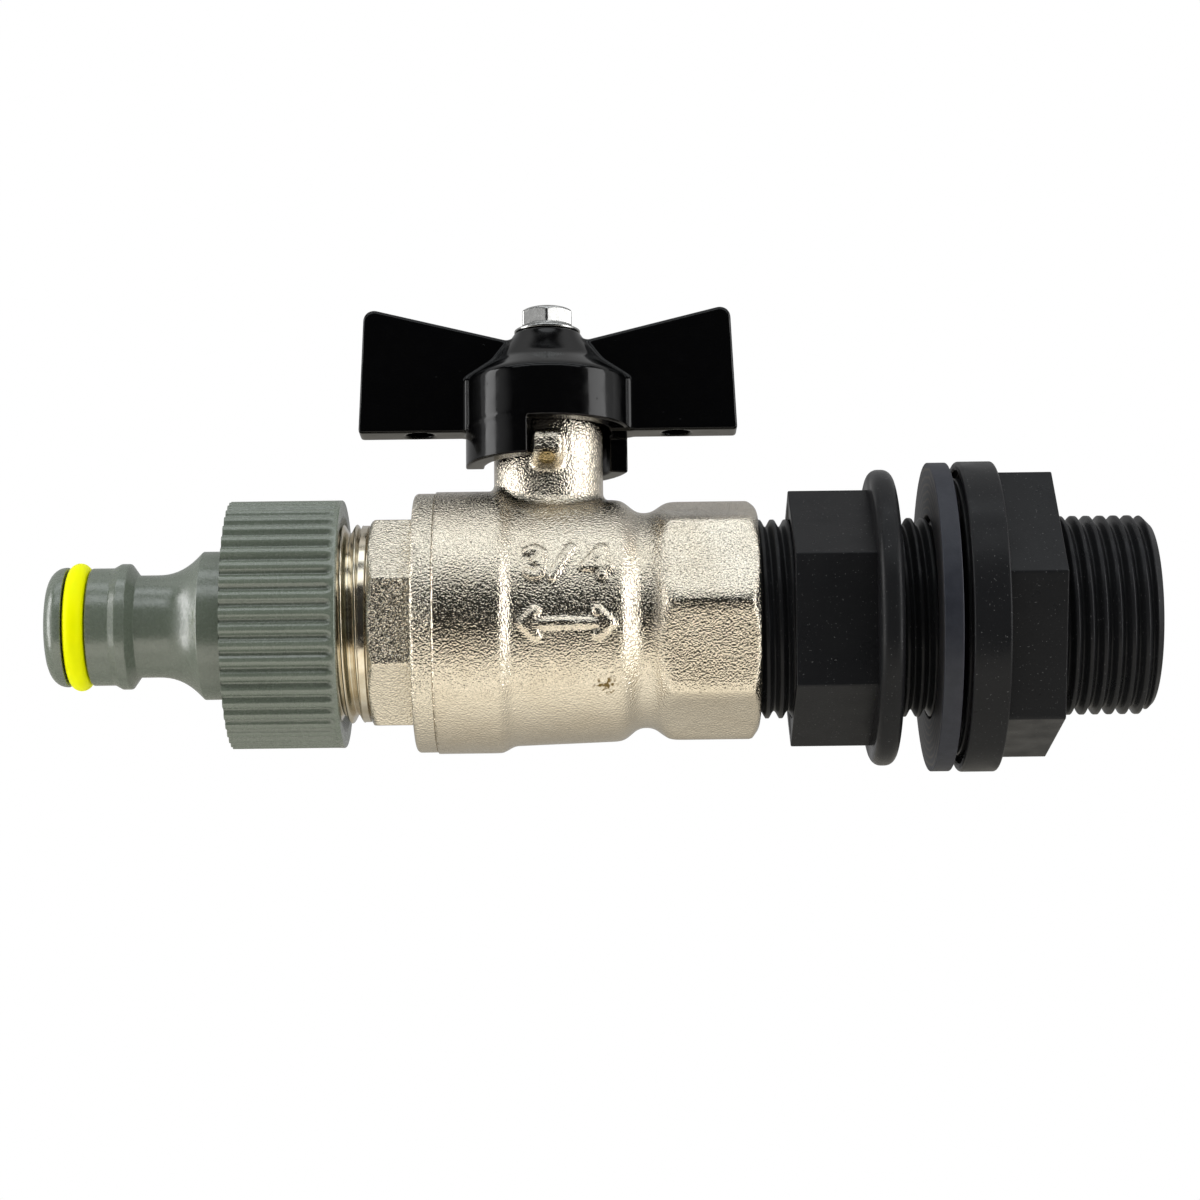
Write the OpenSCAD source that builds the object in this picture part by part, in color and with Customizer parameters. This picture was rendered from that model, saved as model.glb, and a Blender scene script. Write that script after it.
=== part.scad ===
// Rain barrel tap: a quarter turn ball valve with a butterfly handle, a hose
// connector on its outlet and a bulkhead fitting that clamps the barrel wall.
// +X runs along the pipe into the barrel and +Z runs up along the valve stem.
// The origin lies on the pipe axis, at the bulkhead's sealing face.
// Screw threads are plain cylinders at their outside diameter.

/* [Pipe thread] */
// Outside diameter of the 3/4 inch pipe thread
thread_d = 26.44; // [25.6:0.02:27.4]
// Depth of the pipe thread
thread_depth = 1.16; // [0.8:0.02:1.4]
// Radial clearance of a screwed joint
thread_clear = 0.05; // [0.03:0.01:0.1]
// Length of the chamfer on the end of a thread
thread_chamfer = 1.2; // [0.6:0.1:1.5]

/* [Tank connector] */
// Distance from the sealing face back to the valve stem
stem_to_seat = 53.5; // [50:0.5:60]
// Bore of the tube
tube_bore_d = 19.5; // [16:0.5:20]
// Length of free thread beyond the hexagon, inside the barrel
tank_thread_len = 13.2; // [10:0.2:20]
// Diameter of the flange
flange_d = 41.2; // [40:0.2:44]
// Thickness of the flange rim
flange_t = 4.9; // [4:0.1:7]
// Diameter of the raised sealing land on the flange
land_d = 36.8; // [34:0.2:38]
// Height of the sealing land above the rim
land_step = 0.4; // [0.2:0.1:0.8]
// Width of the groove round the sealing land
land_groove_w = 1.1; // [0.6:0.1:1.3]
// Depth of the groove below the rim
land_groove_depth = 1.2; // [0.6:0.1:2]
// Distance across the flats of the connector hexagon
tank_hex_af = 33.7; // [30:0.1:35]
// Length of the connector hexagon
tank_hex_len = 7.5; // [6:0.5:12]
// Turn of the connector hexagon about the pipe
tank_hex_turn = 22.5; // [0:0.5:60]

/* [Gasket and lock nut] */
// Step from the flange's rim in to the gasket's rim
gasket_inset = 0.1; // [0.05:0.05:1.4]
// Thickness of the rubber gasket
gasket_t = 2.5; // [2:0.1:4]
// Play between the loose gasket and the sealing land
gasket_play = 0.8; // [0.2:0.1:0.9]
// Radial gap between the gasket and the tube
gasket_fit = 0.3; // [0.1:0.05:0.8]
// Free width between the gasket and the lock nut, for the barrel wall
wall_gap = 4.7; // [3:0.1:6]
// Diameter of the lock nut's flange
nut_flange_d = 39.3; // [36:0.1:42]
// Thickness of the lock nut's flange
nut_flange_t = 3.2; // [3.1:0.1:5]
// Radius of the rounded rim of the lock nut's flange
nut_rim_r = 1.5; // [1:0.1:1.5]
// Distance across the flats of the lock nut
nut_hex_af = 29.5; // [29:0.1:32]
// Length of the lock nut's hexagon
nut_hex_len = 10.5; // [7:0.1:10.6]
// Turn of the lock nut about the pipe
nut_hex_turn = 10; // [0:0.5:60]

/* [Ball and seats] */
// Diameter of the ball
ball_d = 26; // [25.6:0.1:26.4]
// Bore of the ball
ball_bore_d = 18; // [15:0.5:18.5]
// Bore of the seats, the body and the end cap
passage_d = 19; // [17:0.5:19.5]
// Radial space between the ball and the body
ball_room = 0.6; // [0.4:0.1:0.8]
// Clearance between the ball and the hollow in each seat
seat_clear = 0.08; // [0.05:0.01:0.15]
// Outside diameter of the seat rings
seat_d = 25.2; // [24:0.2:25.6]
// Thickness of a seat ring
seat_t = 2.6; // [2.2:0.1:3]
// Distance from the ball centre to the back of each seat
seat_back = 9.6; // [9.2:0.1:10]
// Height of a seat ring that stands out of its pocket
seat_proud = 0.6; // [0.3:0.1:0.9]

/* [Valve body] */
// Distance from the stem to the face that carries the end cap
body_left = 14.9; // [14.6:0.1:16.5]
// Distance from the stem to the face of the threaded socket
body_right = 27.6; // [26:0.1:30]
// Diameter of the band round the end cap
band_d = 34.8; // [34.2:0.1:37]
// Length of that band
band_len = 8.6; // [7.6:0.1:9]
// Length of the slope from the band down to the chamber
band_step = 1.5; // [1.2:0.1:2.6]
// Diameter of the chamber beside the band
chamber_d = 33; // [32.4:0.1:34]
// Diameter of the chamber beside the waist
chamber_end_d = 32; // [31:0.1:33]
// Diameter of the waist
waist_d = 28.5; // [27:0.1:30]
// Distance from the stem to the start of the waist
waist_start = 11.1; // [10.6:0.1:11.5]
// Length of the waist
waist_len = 2.9; // [2:0.1:3.2]
// Distance across the flats of the socket octagon
socket_af = 30.1; // [29.4:0.1:33]
// Length of the turned chamfer on the socket's end
socket_chamfer = 1.3; // [0.8:0.1:1.8]
// Length of the slope from the waist up to the octagon
octagon_rise = 1.7; // [1.4:0.1:2.4]
// Depth of the threaded socket
socket_depth = 12.4; // [9:0.1:12.4]
// Clearance behind the tube in the socket
socket_room = 0.4; // [0.2:0.1:1]
// Radius of the forged fillets
forge_r = 1.6; // [0.8:0.1:1.8]
// Radius of the fillet where the neck meets the chamber
neck_fillet = 1; // [0.6:0.1:2]

/* [End cap] */
// Diameter of the end cap's flange
cap_flange_d = 34.6; // [33:0.1:36]
// Thickness of the end cap's flange
cap_flange_t = 2.8; // [2:0.1:3.2]
// Distance across the flats of the end cap's octagon
cap_oct_af = 27; // [26.6:0.1:30]
// Length of the end cap's octagon
cap_oct_len = 5.5; // [4:0.1:8]
// Turn of the end cap's octagon about the pipe
cap_oct_turn = 30.5; // [0:0.5:45]
// Length of the outlet thread, with its run-out
outlet_thread_len = 13; // [11:0.1:16]
// Length of the thread's run-out groove
runout_len = 0.7; // [0.5:0.1:1.2]
// Diameter of the thread that holds the end cap in the body
cap_thread_d = 30; // [29.5:0.1:30.6]
// Thickness of the cap's O-ring
cap_ring_t = 1.5; // [1.2:0.1:1.8]

/* [Stem and neck] */
// Diameter of the neck
neck_d = 14.6; // [14.2:0.1:16]
// Height of the neck above the pipe axis
neck_top = 27.2; // [26.8:0.1:28]
// Diameter of the stem
stem_d = 9; // [8.6:0.1:9.4]
// Radial clearance of the turning stem
stem_clear = 0.05; // [0.03:0.01:0.08]
// Diameter of the collar that keeps the stem in
stem_collar_d = 11.2; // [10.6:0.1:11.4]
// Thickness of that collar
stem_collar_t = 1.5; // [1.2:0.1:1.7]
// Thickness of the tongue that turns the ball
tongue_t = 5; // [4:0.1:6]
// Clearance between tongue and slot
tongue_clear = 0.1; // [0.05:0.01:0.2]
// Distance across the flats under the handle
flats_af = 5; // [4.8:0.1:5.4]
// Diameter over the rounds of those flats
flats_d = 7; // [6.6:0.1:7.4]
// Thickness of the thrust washer
thrust_t = 0.95; // [0.8:0.05:1.1]
// Thickness of the stem's O-ring
stem_ring_t = 1.15; // [1:0.05:1.3]
// Length of the plain stem above and below that O-ring
stem_land = 1.35; // [1.2:0.05:1.5]
// Diameter of the packing box and of the gland thread
gland_d = 11.6; // [11:0.1:12]
// Height of the packing ring
packing_t = 2; // [1.5:0.1:2.4]
// Distance across the flats of the gland nut
gland_af = 12; // [11.8:0.1:13]
// Height of the gland nut's hexagon
gland_hex_h = 2.3; // [1.8:0.1:2.6]
// Width of the stop lug on the neck
lug_w = 4; // [3:0.1:5]
// Distance from the stem to the front of the lug
lug_reach = 9.8; // [9.2:0.1:10.4]
// Height of the lug's top above the pipe axis
lug_top = 24.2; // [23.6:0.1:25]
// Height of the lug's front face
lug_h = 4; // [3:0.1:4.5]
// Radius of the lug's rounded corners
lug_r = 0.9; // [0.4:0.1:1.2]

/* [Handle] */
// Diameter of the hub
hub_d = 22.2; // [21.4:0.1:24]
// Height of the hub's lower edge above the pipe axis
hub_bottom = 25.7; // [25.4:0.1:27]
// Height of the hub's shoulder
hub_shoulder = 32.6; // [32:0.1:34]
// Height of the crease where the hub's cone turns steeper
hub_crease = 35.4; // [34.8:0.1:36.4]
// Diameter at that crease
hub_crease_d = 14.4; // [13.4:0.1:16]
// Height of the brow below the hub's top face
hub_brow = 38.3; // [37.6:0.1:38.6]
// Diameter at that brow
hub_brow_d = 12; // [11:0.1:12.6]
// Height of the hub's top face
hub_top = 39.4; // [39.2:0.1:41]
// Diameter of the hub's top face
hub_top_d = 9; // [8.8:0.1:10]
// Diameter of the hollow under the hub
hollow_d = 17; // [16.6:0.1:18]
// Diameter of the stop skirt
skirt_d = 21.8; // [20.6:0.1:22]
// Height of the skirt's lower edge above the pipe axis
skirt_bottom = 20.5; // [20.2:0.1:22]
// Turn of the handle between its stops
handle_travel = 90; // [80:1:90]
// Play between the lug and a stop, as an angle
stop_play = 0.4; // [0.2:0.1:1]
// Reach of a wing from the stem, at its lower corner
wing_reach = 25.4; // [22:0.1:30]
// Lean of the wing's outer edge, across its height
wing_lean = 0.7; // [0:0.1:2]
// Thickness of the wings
wing_t = 4.6; // [4.4:0.1:6]
// Height of the wings' lower edge above the pipe axis
wing_bottom = 25.5; // [25:0.05:26.2]
// Height of the wing's upper corner above the pipe axis
wing_top = 43.3; // [42:0.1:46]
// Slope of the wings' upper edge in degrees
wing_slope = 13.8; // [8:0.2:16]
// Radius of the upper corner
wing_corner_r = 1.8; // [1:0.1:3]
// Radius of the lower corner
wing_foot_r = 0.6; // [0.3:0.1:1]
// Distance from the stem to the hole under each wing
wing_hole_at = 17.2; // [15:0.1:19]
// Diameter of the hole under each wing
wing_hole_d = 3.7; // [3:0.1:3.8]
// Depth of the hole under each wing
wing_hole_depth = 8; // [4:0.5:10]

/* [Handle screw] */
// Diameter of the screw's shank
screw_d = 3.9; // [3.6:0.1:4.1]
// Diameter of the screw's flange
screw_flange_d = 8.9; // [8.4:0.1:9.4]
// Thickness of the screw's flange
screw_flange_t = 0.9; // [0.6:0.1:1.2]
// Distance across the flats of the screw's head
screw_af = 6.6; // [6.2:0.1:7.4]
// Height of the screw's hexagon
screw_head_h = 2.5; // [2.4:0.1:4]
// Length of the screw's shank
screw_len = 9; // [6:0.2:9]

/* [Hose connector] */
// Diameter over the collar's ribs
collar_d = 32.8; // [32:0.1:34]
// Length of the collar
collar_len = 14.6; // [14:0.1:18]
// Depth of the threaded collar, from its face to the washer seat
collar_depth = 11.75; // [9:0.05:12]
// Number of ribs on the collar
rib_count = 48; // [40:2:56]
// Radius of a rib
rib_r = 0.74; // [0.6:0.02:0.8]
// Height of a rib above the collar
rib_h = 0.62; // [0.4:0.02:0.7]
// Width of the plain band beside the ribs
collar_band = 1.1; // [0.8:0.1:2]
// Thickness of the flat washer in the collar
washer_t = 3; // [2:0.1:3.4]
// Bore of that washer
washer_bore_d = 18; // [16:0.5:19]
// Bore of the spigot
spigot_bore_d = 8.8; // [7:0.2:9.4]
// Diameter of the cylinder at the root of the spigot
root_d = 19.7; // [19:0.1:22]
// Length of that cylinder
root_len = 3.7; // [2:0.1:5]
// Diameter of the spigot's neck
latch_neck_d = 13.6; // [13:0.1:14.4]
// Length of the flare between root and neck
flare_len = 5.4; // [4.5:0.1:7]
// Length of the neck that the hose coupling latches on
latch_neck_len = 3.2; // [2.5:0.1:5]
// Diameter of the latch ridge
ridge_d = 16.7; // [16.2:0.1:17.2]
// Length of the latch ridge on its crown
ridge_len = 1.2; // [0.8:0.1:2]
// Diameter of the spigot's barrel
barrel_d = 15.6; // [15.2:0.1:16]
// Length of the barrel
barrel_len = 3; // [2:0.1:5]
// Diameter of the spigot's head
head_d = 15.9; // [15.4:0.1:16.4]
// Length of the spigot's head
head_len = 2.6; // [2:0.1:4]
// Radius of the rounded head
head_r = 1.4; // [0.8:0.1:1.6]
// Thickness of the spigot's O-ring
spigot_ring_t = 2.8; // [2.4:0.05:3]
// Outside diameter of the spigot's O-ring
spigot_ring_d = 17; // [16.6:0.1:17.6]

/* [Hidden] */
$fn = 96;

// Small gap between flat faces that only meet
face_gap = 0.05;
// Overrun of a cut past the face that it opens
over = 1;
// Points in a quarter of a rounded corner
corner_steps = 5;
// Radius that takes the sharpness off an outer edge
edge_r = 0.4;
// Direction of the lug as seen from above, across the pipe
lug_side = -90;
// Sides of the octagons and hexagons
octagon = 8;
hexagon = 6;

thread_r = thread_d / 2;
root_r = thread_r - thread_depth;
socket_r = thread_r + thread_clear;
stem_x = -stem_to_seat;
ball_r = ball_d / 2;
chamber_r = ball_r + ball_room;
pocket_lip = seat_back - seat_t + seat_proud;
pocket_r = seat_d / 2 + face_gap;
cap_thread_r = cap_thread_d / 2;
passage_r = passage_d / 2;
socket_floor = body_right - socket_depth;
tube_start = stem_x + socket_floor + socket_room;
hex_start = land_step + flange_t;
hex_end = hex_start + tank_hex_len;
tube_end = hex_end + tank_thread_len;
gasket_x = -gasket_play - gasket_t;
nut_face = gasket_x - wall_gap;
cap_face = -body_left;
cap_oct_start = cap_face - cap_flange_t - cap_oct_len;
outlet_end = cap_oct_start - outlet_thread_len;
cap_groove_len = cap_ring_t + 0.4;
cap_groove_lip = 0.4;
washer_seat = outlet_end - face_gap - washer_t;
collar_right = washer_seat + collar_depth;
collar_left = collar_right - collar_len;
collar_core_r = collar_d / 2 - rib_h;
slot_floor = ball_bore_d / 2 + 0.8;
tongue_foot = slot_floor + 0.15;
collar_foot = chamber_r + 0.1;
collar_head = collar_foot + stem_collar_t;
thrust_foot = collar_head + face_gap;
stem_shoulder = thrust_foot + thrust_t + face_gap;
stem_r = stem_d / 2;
stem_bore_r = stem_r + stem_clear;
stem_groove_z = stem_shoulder + stem_land;
stem_groove_h = stem_ring_t + 0.5;
box_floor = stem_groove_z + stem_groove_h + stem_land;
gland_r = gland_d / 2;
packing_foot = box_floor + face_gap;
gland_foot = packing_foot + packing_t + face_gap;
gland_hex_foot = neck_top + face_gap;
hollow_top = gland_hex_foot + gland_hex_h + 0.6;
flats_foot = hollow_top - 0.2;
stem_top = hub_top - 0.6;
stop_half = asin(lug_w / hollow_d) + stop_play;
band_end = -body_left + band_len;
chamber_end = waist_start - 0.8;
// Radial room round the stem's collar
collar_room = 0.4;
ridge_rise = 1.1;
ridge_ramp = 1;
groove_len = spigot_ring_t + 0.3;
ring_groove_r = spigot_ring_d / 2 - spigot_ring_t - face_gap;

// Angle brought between -180 and 180 degrees
function wrapped(angle) = angle - 360 * round(angle / 360);

// Corner of an outline, with its radius, as the points of its arc
function corner(a, b, c, r) =
    r <= 0 ? [b] :
    let (u = (a - b) / norm(a - b))
    let (v = (c - b) / norm(c - b))
    let (half = acos(max(-1, min(1, u * v))) / 2)
    let (middle = b + (u + v) / norm(u + v) * r / sin(half))
    let (from = b + u * r / tan(half) - middle)
    let (to = b + v * r / tan(half) - middle)
    let (start = atan2(from[1], from[0]))
    let (sweep = wrapped(atan2(to[1], to[0]) - start))
    let (steps = max(2, ceil(abs(sweep) / 90 * corner_steps)))
    [for (i = [0 : steps]) middle + r * [cos(start + sweep * i / steps), sin(start + sweep * i / steps)]];

// Outline through points of the form [x, y, corner radius]
function rounded(p) =
    [for (i = [0 : len(p) - 1])
        let (before = p[(i + len(p) - 1) % len(p)])
        let (after = p[(i + 1) % len(p)])
        each corner([before[0], before[1]], [p[i][0], p[i][1]], [after[0], after[1]], p[i][2])];

// Solid of revolution about the pipe axis, from points of the form [x, radius, corner radius]
module turned(p) {
    rotate([0, 90, 0]) rotate_extrude() polygon([for (q = rounded(p)) [q[1], q[0]]]);
}

// Solid of revolution about the stem axis, from points of the form [radius, z, corner radius]
module turned_up(p) {
    rotate_extrude() polygon(rounded(p));
}

// Cylinder along the pipe from one place to another
module rod(from, to, r, sides = 96) {
    translate([from, 0, 0]) rotate([0, 90, 0]) cylinder(h = to - from, r = r, $fn = sides);
}

// Ring along the pipe
module pipe_ring(from, to, r_in, r_out) {
    difference() {
        rod(from, to, r_out);
        rod(from - over, to + over, r_in);
    }
}

// Cylinder up the stem from one height to another
module post(from, to, r, sides = 96) {
    translate([0, 0, from]) cylinder(h = to - from, r = r, $fn = sides);
}

// Ring round the stem
module post_ring(from, to, r_in, r_out) {
    difference() {
        post(from, to, r_out);
        post(from - over, to + over, r_in);
    }
}

// Prism along the pipe with a number of flats
module flats_prism(from, to, across, sides, turn) {
    translate([from, 0, 0]) rotate([0, 90, 0]) rotate([0, 0, turn])
        cylinder(h = to - from, r = corner_r(across, sides), $fn = sides);
}

// Radius to the corners of a regular polygon, from its distance across the flats
function corner_r(across, sides) = across / 2 / cos(180 / sides);

// O-ring round the pipe axis
module pipe_o_ring(at, r_out, thick) {
    translate([at, 0, 0]) rotate([0, 90, 0]) rotate_extrude()
        translate([r_out - thick / 2, 0]) circle(d = thick, $fn = 32);
}

// Threaded tube with a flange and a hexagon, which passes through the barrel wall
module tank_connector() {
    groove_out = land_d / 2 + land_groove_w;
    groove_floor = land_step + land_groove_depth;
    color("#2b2c2e")
    difference() {
        union() {
            turned([
                [tube_start, 0, 0], [tube_start, thread_r - thread_chamfer, 0],
                [tube_start + thread_chamfer, thread_r, 0], [0, thread_r, 0],
                [0, land_d / 2, edge_r], [groove_floor, land_d / 2, 0],
                [groove_floor, groove_out, 0], [land_step, groove_out, 0],
                [land_step, flange_d / 2, edge_r], [hex_start, flange_d / 2, edge_r],
                [hex_start, thread_r, 0], [tube_end - thread_chamfer, thread_r, 0],
                [tube_end, thread_r - thread_chamfer, 0], [tube_end, 0, 0]
            ]);
            flats_prism(hex_start - edge_r, hex_end, tank_hex_af, hexagon, tank_hex_turn);
        }
        rod(tube_start - over, tube_end + over, tube_bore_d / 2);
    }
}

// Nut that draws the barrel wall against the gasket
module lock_nut() {
    rim_r = nut_flange_d / 2;
    flange_back = nut_face - nut_flange_t;
    nut_back = flange_back - nut_hex_len;
    color("#2b2c2e")
    difference() {
        union() {
            turned([
                [flange_back, 0, 0], [flange_back, rim_r, nut_rim_r],
                [nut_face, rim_r, nut_rim_r], [nut_face, 0, 0]
            ]);
            flats_prism(nut_back, flange_back + nut_rim_r, nut_hex_af, hexagon, nut_hex_turn);
        }
        rod(nut_back - over, nut_face + over, socket_r);
    }
}

// Loose flat gasket between the barrel wall and the sealing land
module tank_gasket() {
    color("#4a4c58")
    pipe_ring(gasket_x, gasket_x + gasket_t, thread_r + gasket_fit, flange_d / 2 - gasket_inset);
}

// Places and radii of the body's outside from the band to the waist
body_profile = [
    [band_end, band_d / 2], [band_end + band_step, chamber_d / 2], [chamber_end, chamber_end_d / 2]
];

// Height of the body's surface at a distance and an angle from the stem
function body_z(out, angle) =
    sqrt(pow(lookup(out * cos(angle), body_profile), 2) - pow(out * sin(angle), 2));

// Section of the neck's fillet at an angle, sunk in the neck and in the body
function fillet_section(angle, sunk) =
    let (neck_r = neck_d / 2)
    let (out_r = neck_r + neck_fillet)
    [
        [neck_r - sunk, body_z(neck_r, angle) - sunk],
        [out_r, body_z(out_r, angle) - sunk],
        for (t = [15 : 12 : 75])
            let (out = neck_r + neck_fillet * (1 - sin(t)))
            [out, body_z(out, angle) + neck_fillet * (1 - cos(t))],
        [neck_r - sunk, body_z(neck_r, angle) + neck_fillet]
    ];

// Fillet between the neck and the body, which rises and falls with the body's round
module neck_saddle() {
    around = 60;
    sections = [for (i = [0 : around - 1]) fillet_section(i * 360 / around, 0.5)];
    size = len(sections[0]);
    polyhedron(
        points = [
            for (i = [0 : around - 1])
                for (p = sections[i])
                    [p[0] * cos(i * 360 / around), p[0] * sin(i * 360 / around), p[1]]
        ],
        faces = [
            for (i = [0 : around - 1])
                for (k = [0 : size - 1])
                    let (here = i * size)
                    let (next = (i + 1) % around * size)
                    let (up = (k + 1) % size)
                    each [[here + k, here + up, next + up], [here + k, next + up, next + k]]
        ]
    );
}

// Lug on the neck that stops the handle, with a foot that slopes back into the neck
module stop_lug() {
    neck_r = neck_d / 2;
    lug_foot = lug_top - lug_h;
    lug_slope = 1.5;
    root_y = -neck_r + 0.6;
    intersection() {
        translate([-lug_w / 2, 0, 0]) rotate([90, 0, 90]) linear_extrude(lug_w)
            polygon(rounded([
                [-lug_reach, lug_top, lug_r], [-lug_reach, lug_foot, lug_r],
                [root_y, lug_foot - lug_slope, 0], [root_y, lug_top, 0]
            ]));
        rotate([90, 0, 0]) linear_extrude(lug_reach)
            polygon(rounded([
                [-lug_w / 2, 0, 0], [lug_w / 2, 0, 0],
                [lug_w / 2, lug_top, lug_r], [-lug_w / 2, lug_top, lug_r]
            ]));
    }
}

// Forged body with the ball chamber, the threaded socket and the neck
module valve_body() {
    octagon_r = corner_r(socket_af, octagon);
    chamfer_r = octagon_r - 1.4 * socket_chamfer;
    waist_end = waist_start + waist_len;
    color("#b9b2a0")
    translate([stem_x, 0, 0])
    difference() {
        union() {
            turned([
                [-body_left, 0, 0], [-body_left, band_d / 2, edge_r], [band_end, band_d / 2, forge_r],
                [band_end + band_step, chamber_d / 2, forge_r], [chamber_end, chamber_end_d / 2, forge_r],
                [waist_start, waist_d / 2, edge_r], [waist_end, waist_d / 2, edge_r], [waist_end, 0, 0]
            ]);
            intersection() {
                flats_prism(waist_end - over, body_right, socket_af, octagon, 0);
                turned([
                    [waist_end - over, 0, 0], [waist_end - over, waist_d / 2, 0],
                    [waist_end, waist_d / 2, edge_r], [waist_end + octagon_rise, octagon_r, edge_r],
                    [body_right - socket_chamfer, octagon_r, 0], [body_right, chamfer_r, 0],
                    [body_right, 0, 0]
                ]);
            }
            turned_up([[0, 0, 0], [neck_d / 2, 0, 0], [neck_d / 2, neck_top, edge_r], [0, neck_top, 0]]);
            neck_saddle();
            stop_lug();
        }
        rod(-body_left - over, -pocket_lip + 0.1, cap_thread_r + thread_clear);
        rod(-pocket_lip - over, pocket_lip, chamber_r);
        rod(0, seat_back, pocket_r);
        rod(0, body_right + over, passage_r);
        rod(socket_floor, body_right + over, socket_r);
        post(0, stem_shoulder, stem_collar_d / 2 + collar_room);
        post(0, neck_top + over, stem_bore_r);
        post(box_floor, neck_top + over, gland_r);
    }
}

// Screwed-in end of the body, with the outlet thread and one seat pocket
module end_cap() {
    flange_r = cap_flange_d / 2;
    groove_at = cap_face + cap_groove_lip;
    groove_r = cap_thread_r - cap_ring_t - 0.02;
    octagon_r = corner_r(cap_oct_af, octagon);
    chamfer = 0.7;
    color("#c8bda0")
    translate([stem_x, 0, 0])
    difference() {
        union() {
            turned([
                [outlet_end, 0, 0], [outlet_end, thread_r - thread_chamfer, 0],
                [outlet_end + thread_chamfer, thread_r, 0], [cap_oct_start - runout_len, thread_r, 0],
                [cap_oct_start - runout_len, root_r, 0], [cap_oct_start + over, root_r, 0],
                [cap_oct_start + over, 0, 0]
            ]);
            intersection() {
                flats_prism(cap_oct_start, cap_face - cap_flange_t + edge_r, cap_oct_af, octagon, cap_oct_turn);
                turned([
                    [cap_oct_start, 0, 0], [cap_oct_start, octagon_r - chamfer, 0],
                    [cap_oct_start + chamfer, octagon_r, 0], [cap_face, octagon_r, 0], [cap_face, 0, 0]
                ]);
            }
            turned([
                [cap_face - cap_flange_t, 0, 0], [cap_face - cap_flange_t, flange_r, 0.7],
                [cap_face - face_gap, flange_r, edge_r / 2], [cap_face - face_gap, cap_thread_r, 0],
                [groove_at, cap_thread_r, 0], [groove_at, groove_r, 0],
                [groove_at + cap_groove_len, groove_r, 0],
                [groove_at + cap_groove_len, cap_thread_r, 0], [-pocket_lip, cap_thread_r, 0],
                [-pocket_lip, 0, 0]
            ]);
        }
        rod(outlet_end - over, 0, passage_r);
        rod(-seat_back, 0, pocket_r);
    }
}

// O-ring that seals the end cap in the body
module cap_o_ring() {
    color("#2a2a2a")
    translate([stem_x, 0, 0])
    pipe_o_ring(cap_face + cap_groove_lip + cap_groove_len / 2, cap_thread_r, cap_ring_t);
}

// Ball with its water bore along the pipe and a slot across the top
module ball() {
    color("#c9ccd0")
    translate([stem_x, 0, 0])
    difference() {
        sphere(r = ball_r);
        rod(-ball_d, ball_d, ball_bore_d / 2);
        translate([-tongue_t / 2 - tongue_clear, -ball_d, slot_floor])
            cube([tongue_t + 2 * tongue_clear, 2 * ball_d, ball_d]);
    }
}

// Seat ring hollowed to the ball, on the side that the sign gives
module seat(side) {
    far = side * seat_back;
    near = side * (seat_back - seat_t);
    color("#f2f1ec")
    translate([stem_x, 0, 0])
    difference() {
        pipe_ring(min(near, far) + face_gap, max(near, far) - face_gap, passage_r, seat_d / 2);
        sphere(r = ball_r + seat_clear);
    }
}

module inlet_seat() { seat(1); }

module outlet_seat() { seat(-1); }

// Stem with a tongue for the ball, a collar, an O-ring groove and flats for the handle
module stem() {
    tongue_w = stem_collar_d - 1.2;
    groove_r = stem_bore_r - stem_ring_t;
    groove_end = stem_groove_z + stem_groove_h;
    chamfer = 0.3;
    tap_room = 0.8;
    color("#c2b280")
    translate([stem_x, 0, 0])
    difference() {
        union() {
            intersection() {
                post(tongue_foot, collar_foot + chamfer, stem_collar_d / 2);
                translate([-tongue_t / 2, -tongue_w / 2, 0]) cube([tongue_t, tongue_w, ball_d]);
            }
            turned_up([
                [0, collar_foot, 0], [stem_collar_d / 2, collar_foot, 0], [stem_collar_d / 2, collar_head, 0],
                [stem_r, collar_head, 0], [stem_r, stem_groove_z, 0], [groove_r, stem_groove_z, 0],
                [groove_r, groove_end, 0], [stem_r, groove_end, 0],
                [stem_r, flats_foot - chamfer, 0], [stem_r - chamfer, flats_foot, 0], [0, flats_foot, 0]
            ]);
            intersection() {
                post(flats_foot - chamfer, stem_top, flats_d / 2);
                translate([-flats_af / 2, -flats_d, 0]) cube([flats_af, 2 * flats_d, hub_top]);
            }
        }
        post(hub_top - screw_len - tap_room, stem_top + over, screw_d / 2 + face_gap);
    }
}

// Low friction washer above the stem's collar
module thrust_washer() {
    color("#f2f1ec")
    translate([stem_x, 0, 0])
    post_ring(thrust_foot, thrust_foot + thrust_t, stem_bore_r, stem_collar_d / 2 + 0.3);
}

// O-ring in the groove of the stem
module stem_o_ring() {
    color("#2a2a2a")
    translate([stem_x, 0, stem_groove_z + stem_groove_h / 2])
    rotate_extrude()
        translate([stem_r - stem_ring_t / 2 + 0.03, 0]) circle(d = stem_ring_t - 0.06, $fn = 32);
}

// Packing ring under the gland nut
module stem_packing() {
    color("#f2f1ec")
    translate([stem_x, 0, 0])
    post_ring(packing_foot, packing_foot + packing_t, stem_bore_r + 0.02, gland_r - 0.03);
}

// Gland nut that presses the packing down
module gland_nut() {
    color("#c2a75f")
    translate([stem_x, 0, 0])
    difference() {
        union() {
            post(gland_foot, gland_hex_foot + over, gland_r - thread_clear);
            post(gland_hex_foot, gland_hex_foot + gland_hex_h, corner_r(gland_af, hexagon), hexagon);
        }
        post(gland_foot - over, gland_hex_foot + gland_hex_h + over, stem_bore_r + 0.05);
    }
}

// Outline of one wing, in the plane of the stem and the pipe
function wing_outline() =
    let (corner_x = wing_reach - wing_lean)
    let (inner_z = wing_top - corner_x * tan(wing_slope))
    rounded([
        [0, wing_bottom, 0], [wing_reach, wing_bottom, wing_foot_r],
        [corner_x, wing_top, wing_corner_r], [0, inner_z, 0]
    ]);

// Wedge as seen along the stem, from one angle to another
module wedge(r, from, to) {
    steps = 6;
    turn = (to - from) / steps;
    polygon([[0, 0], for (i = [0 : steps]) r * [cos(from + turn * i), sin(from + turn * i)]]);
}

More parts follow.
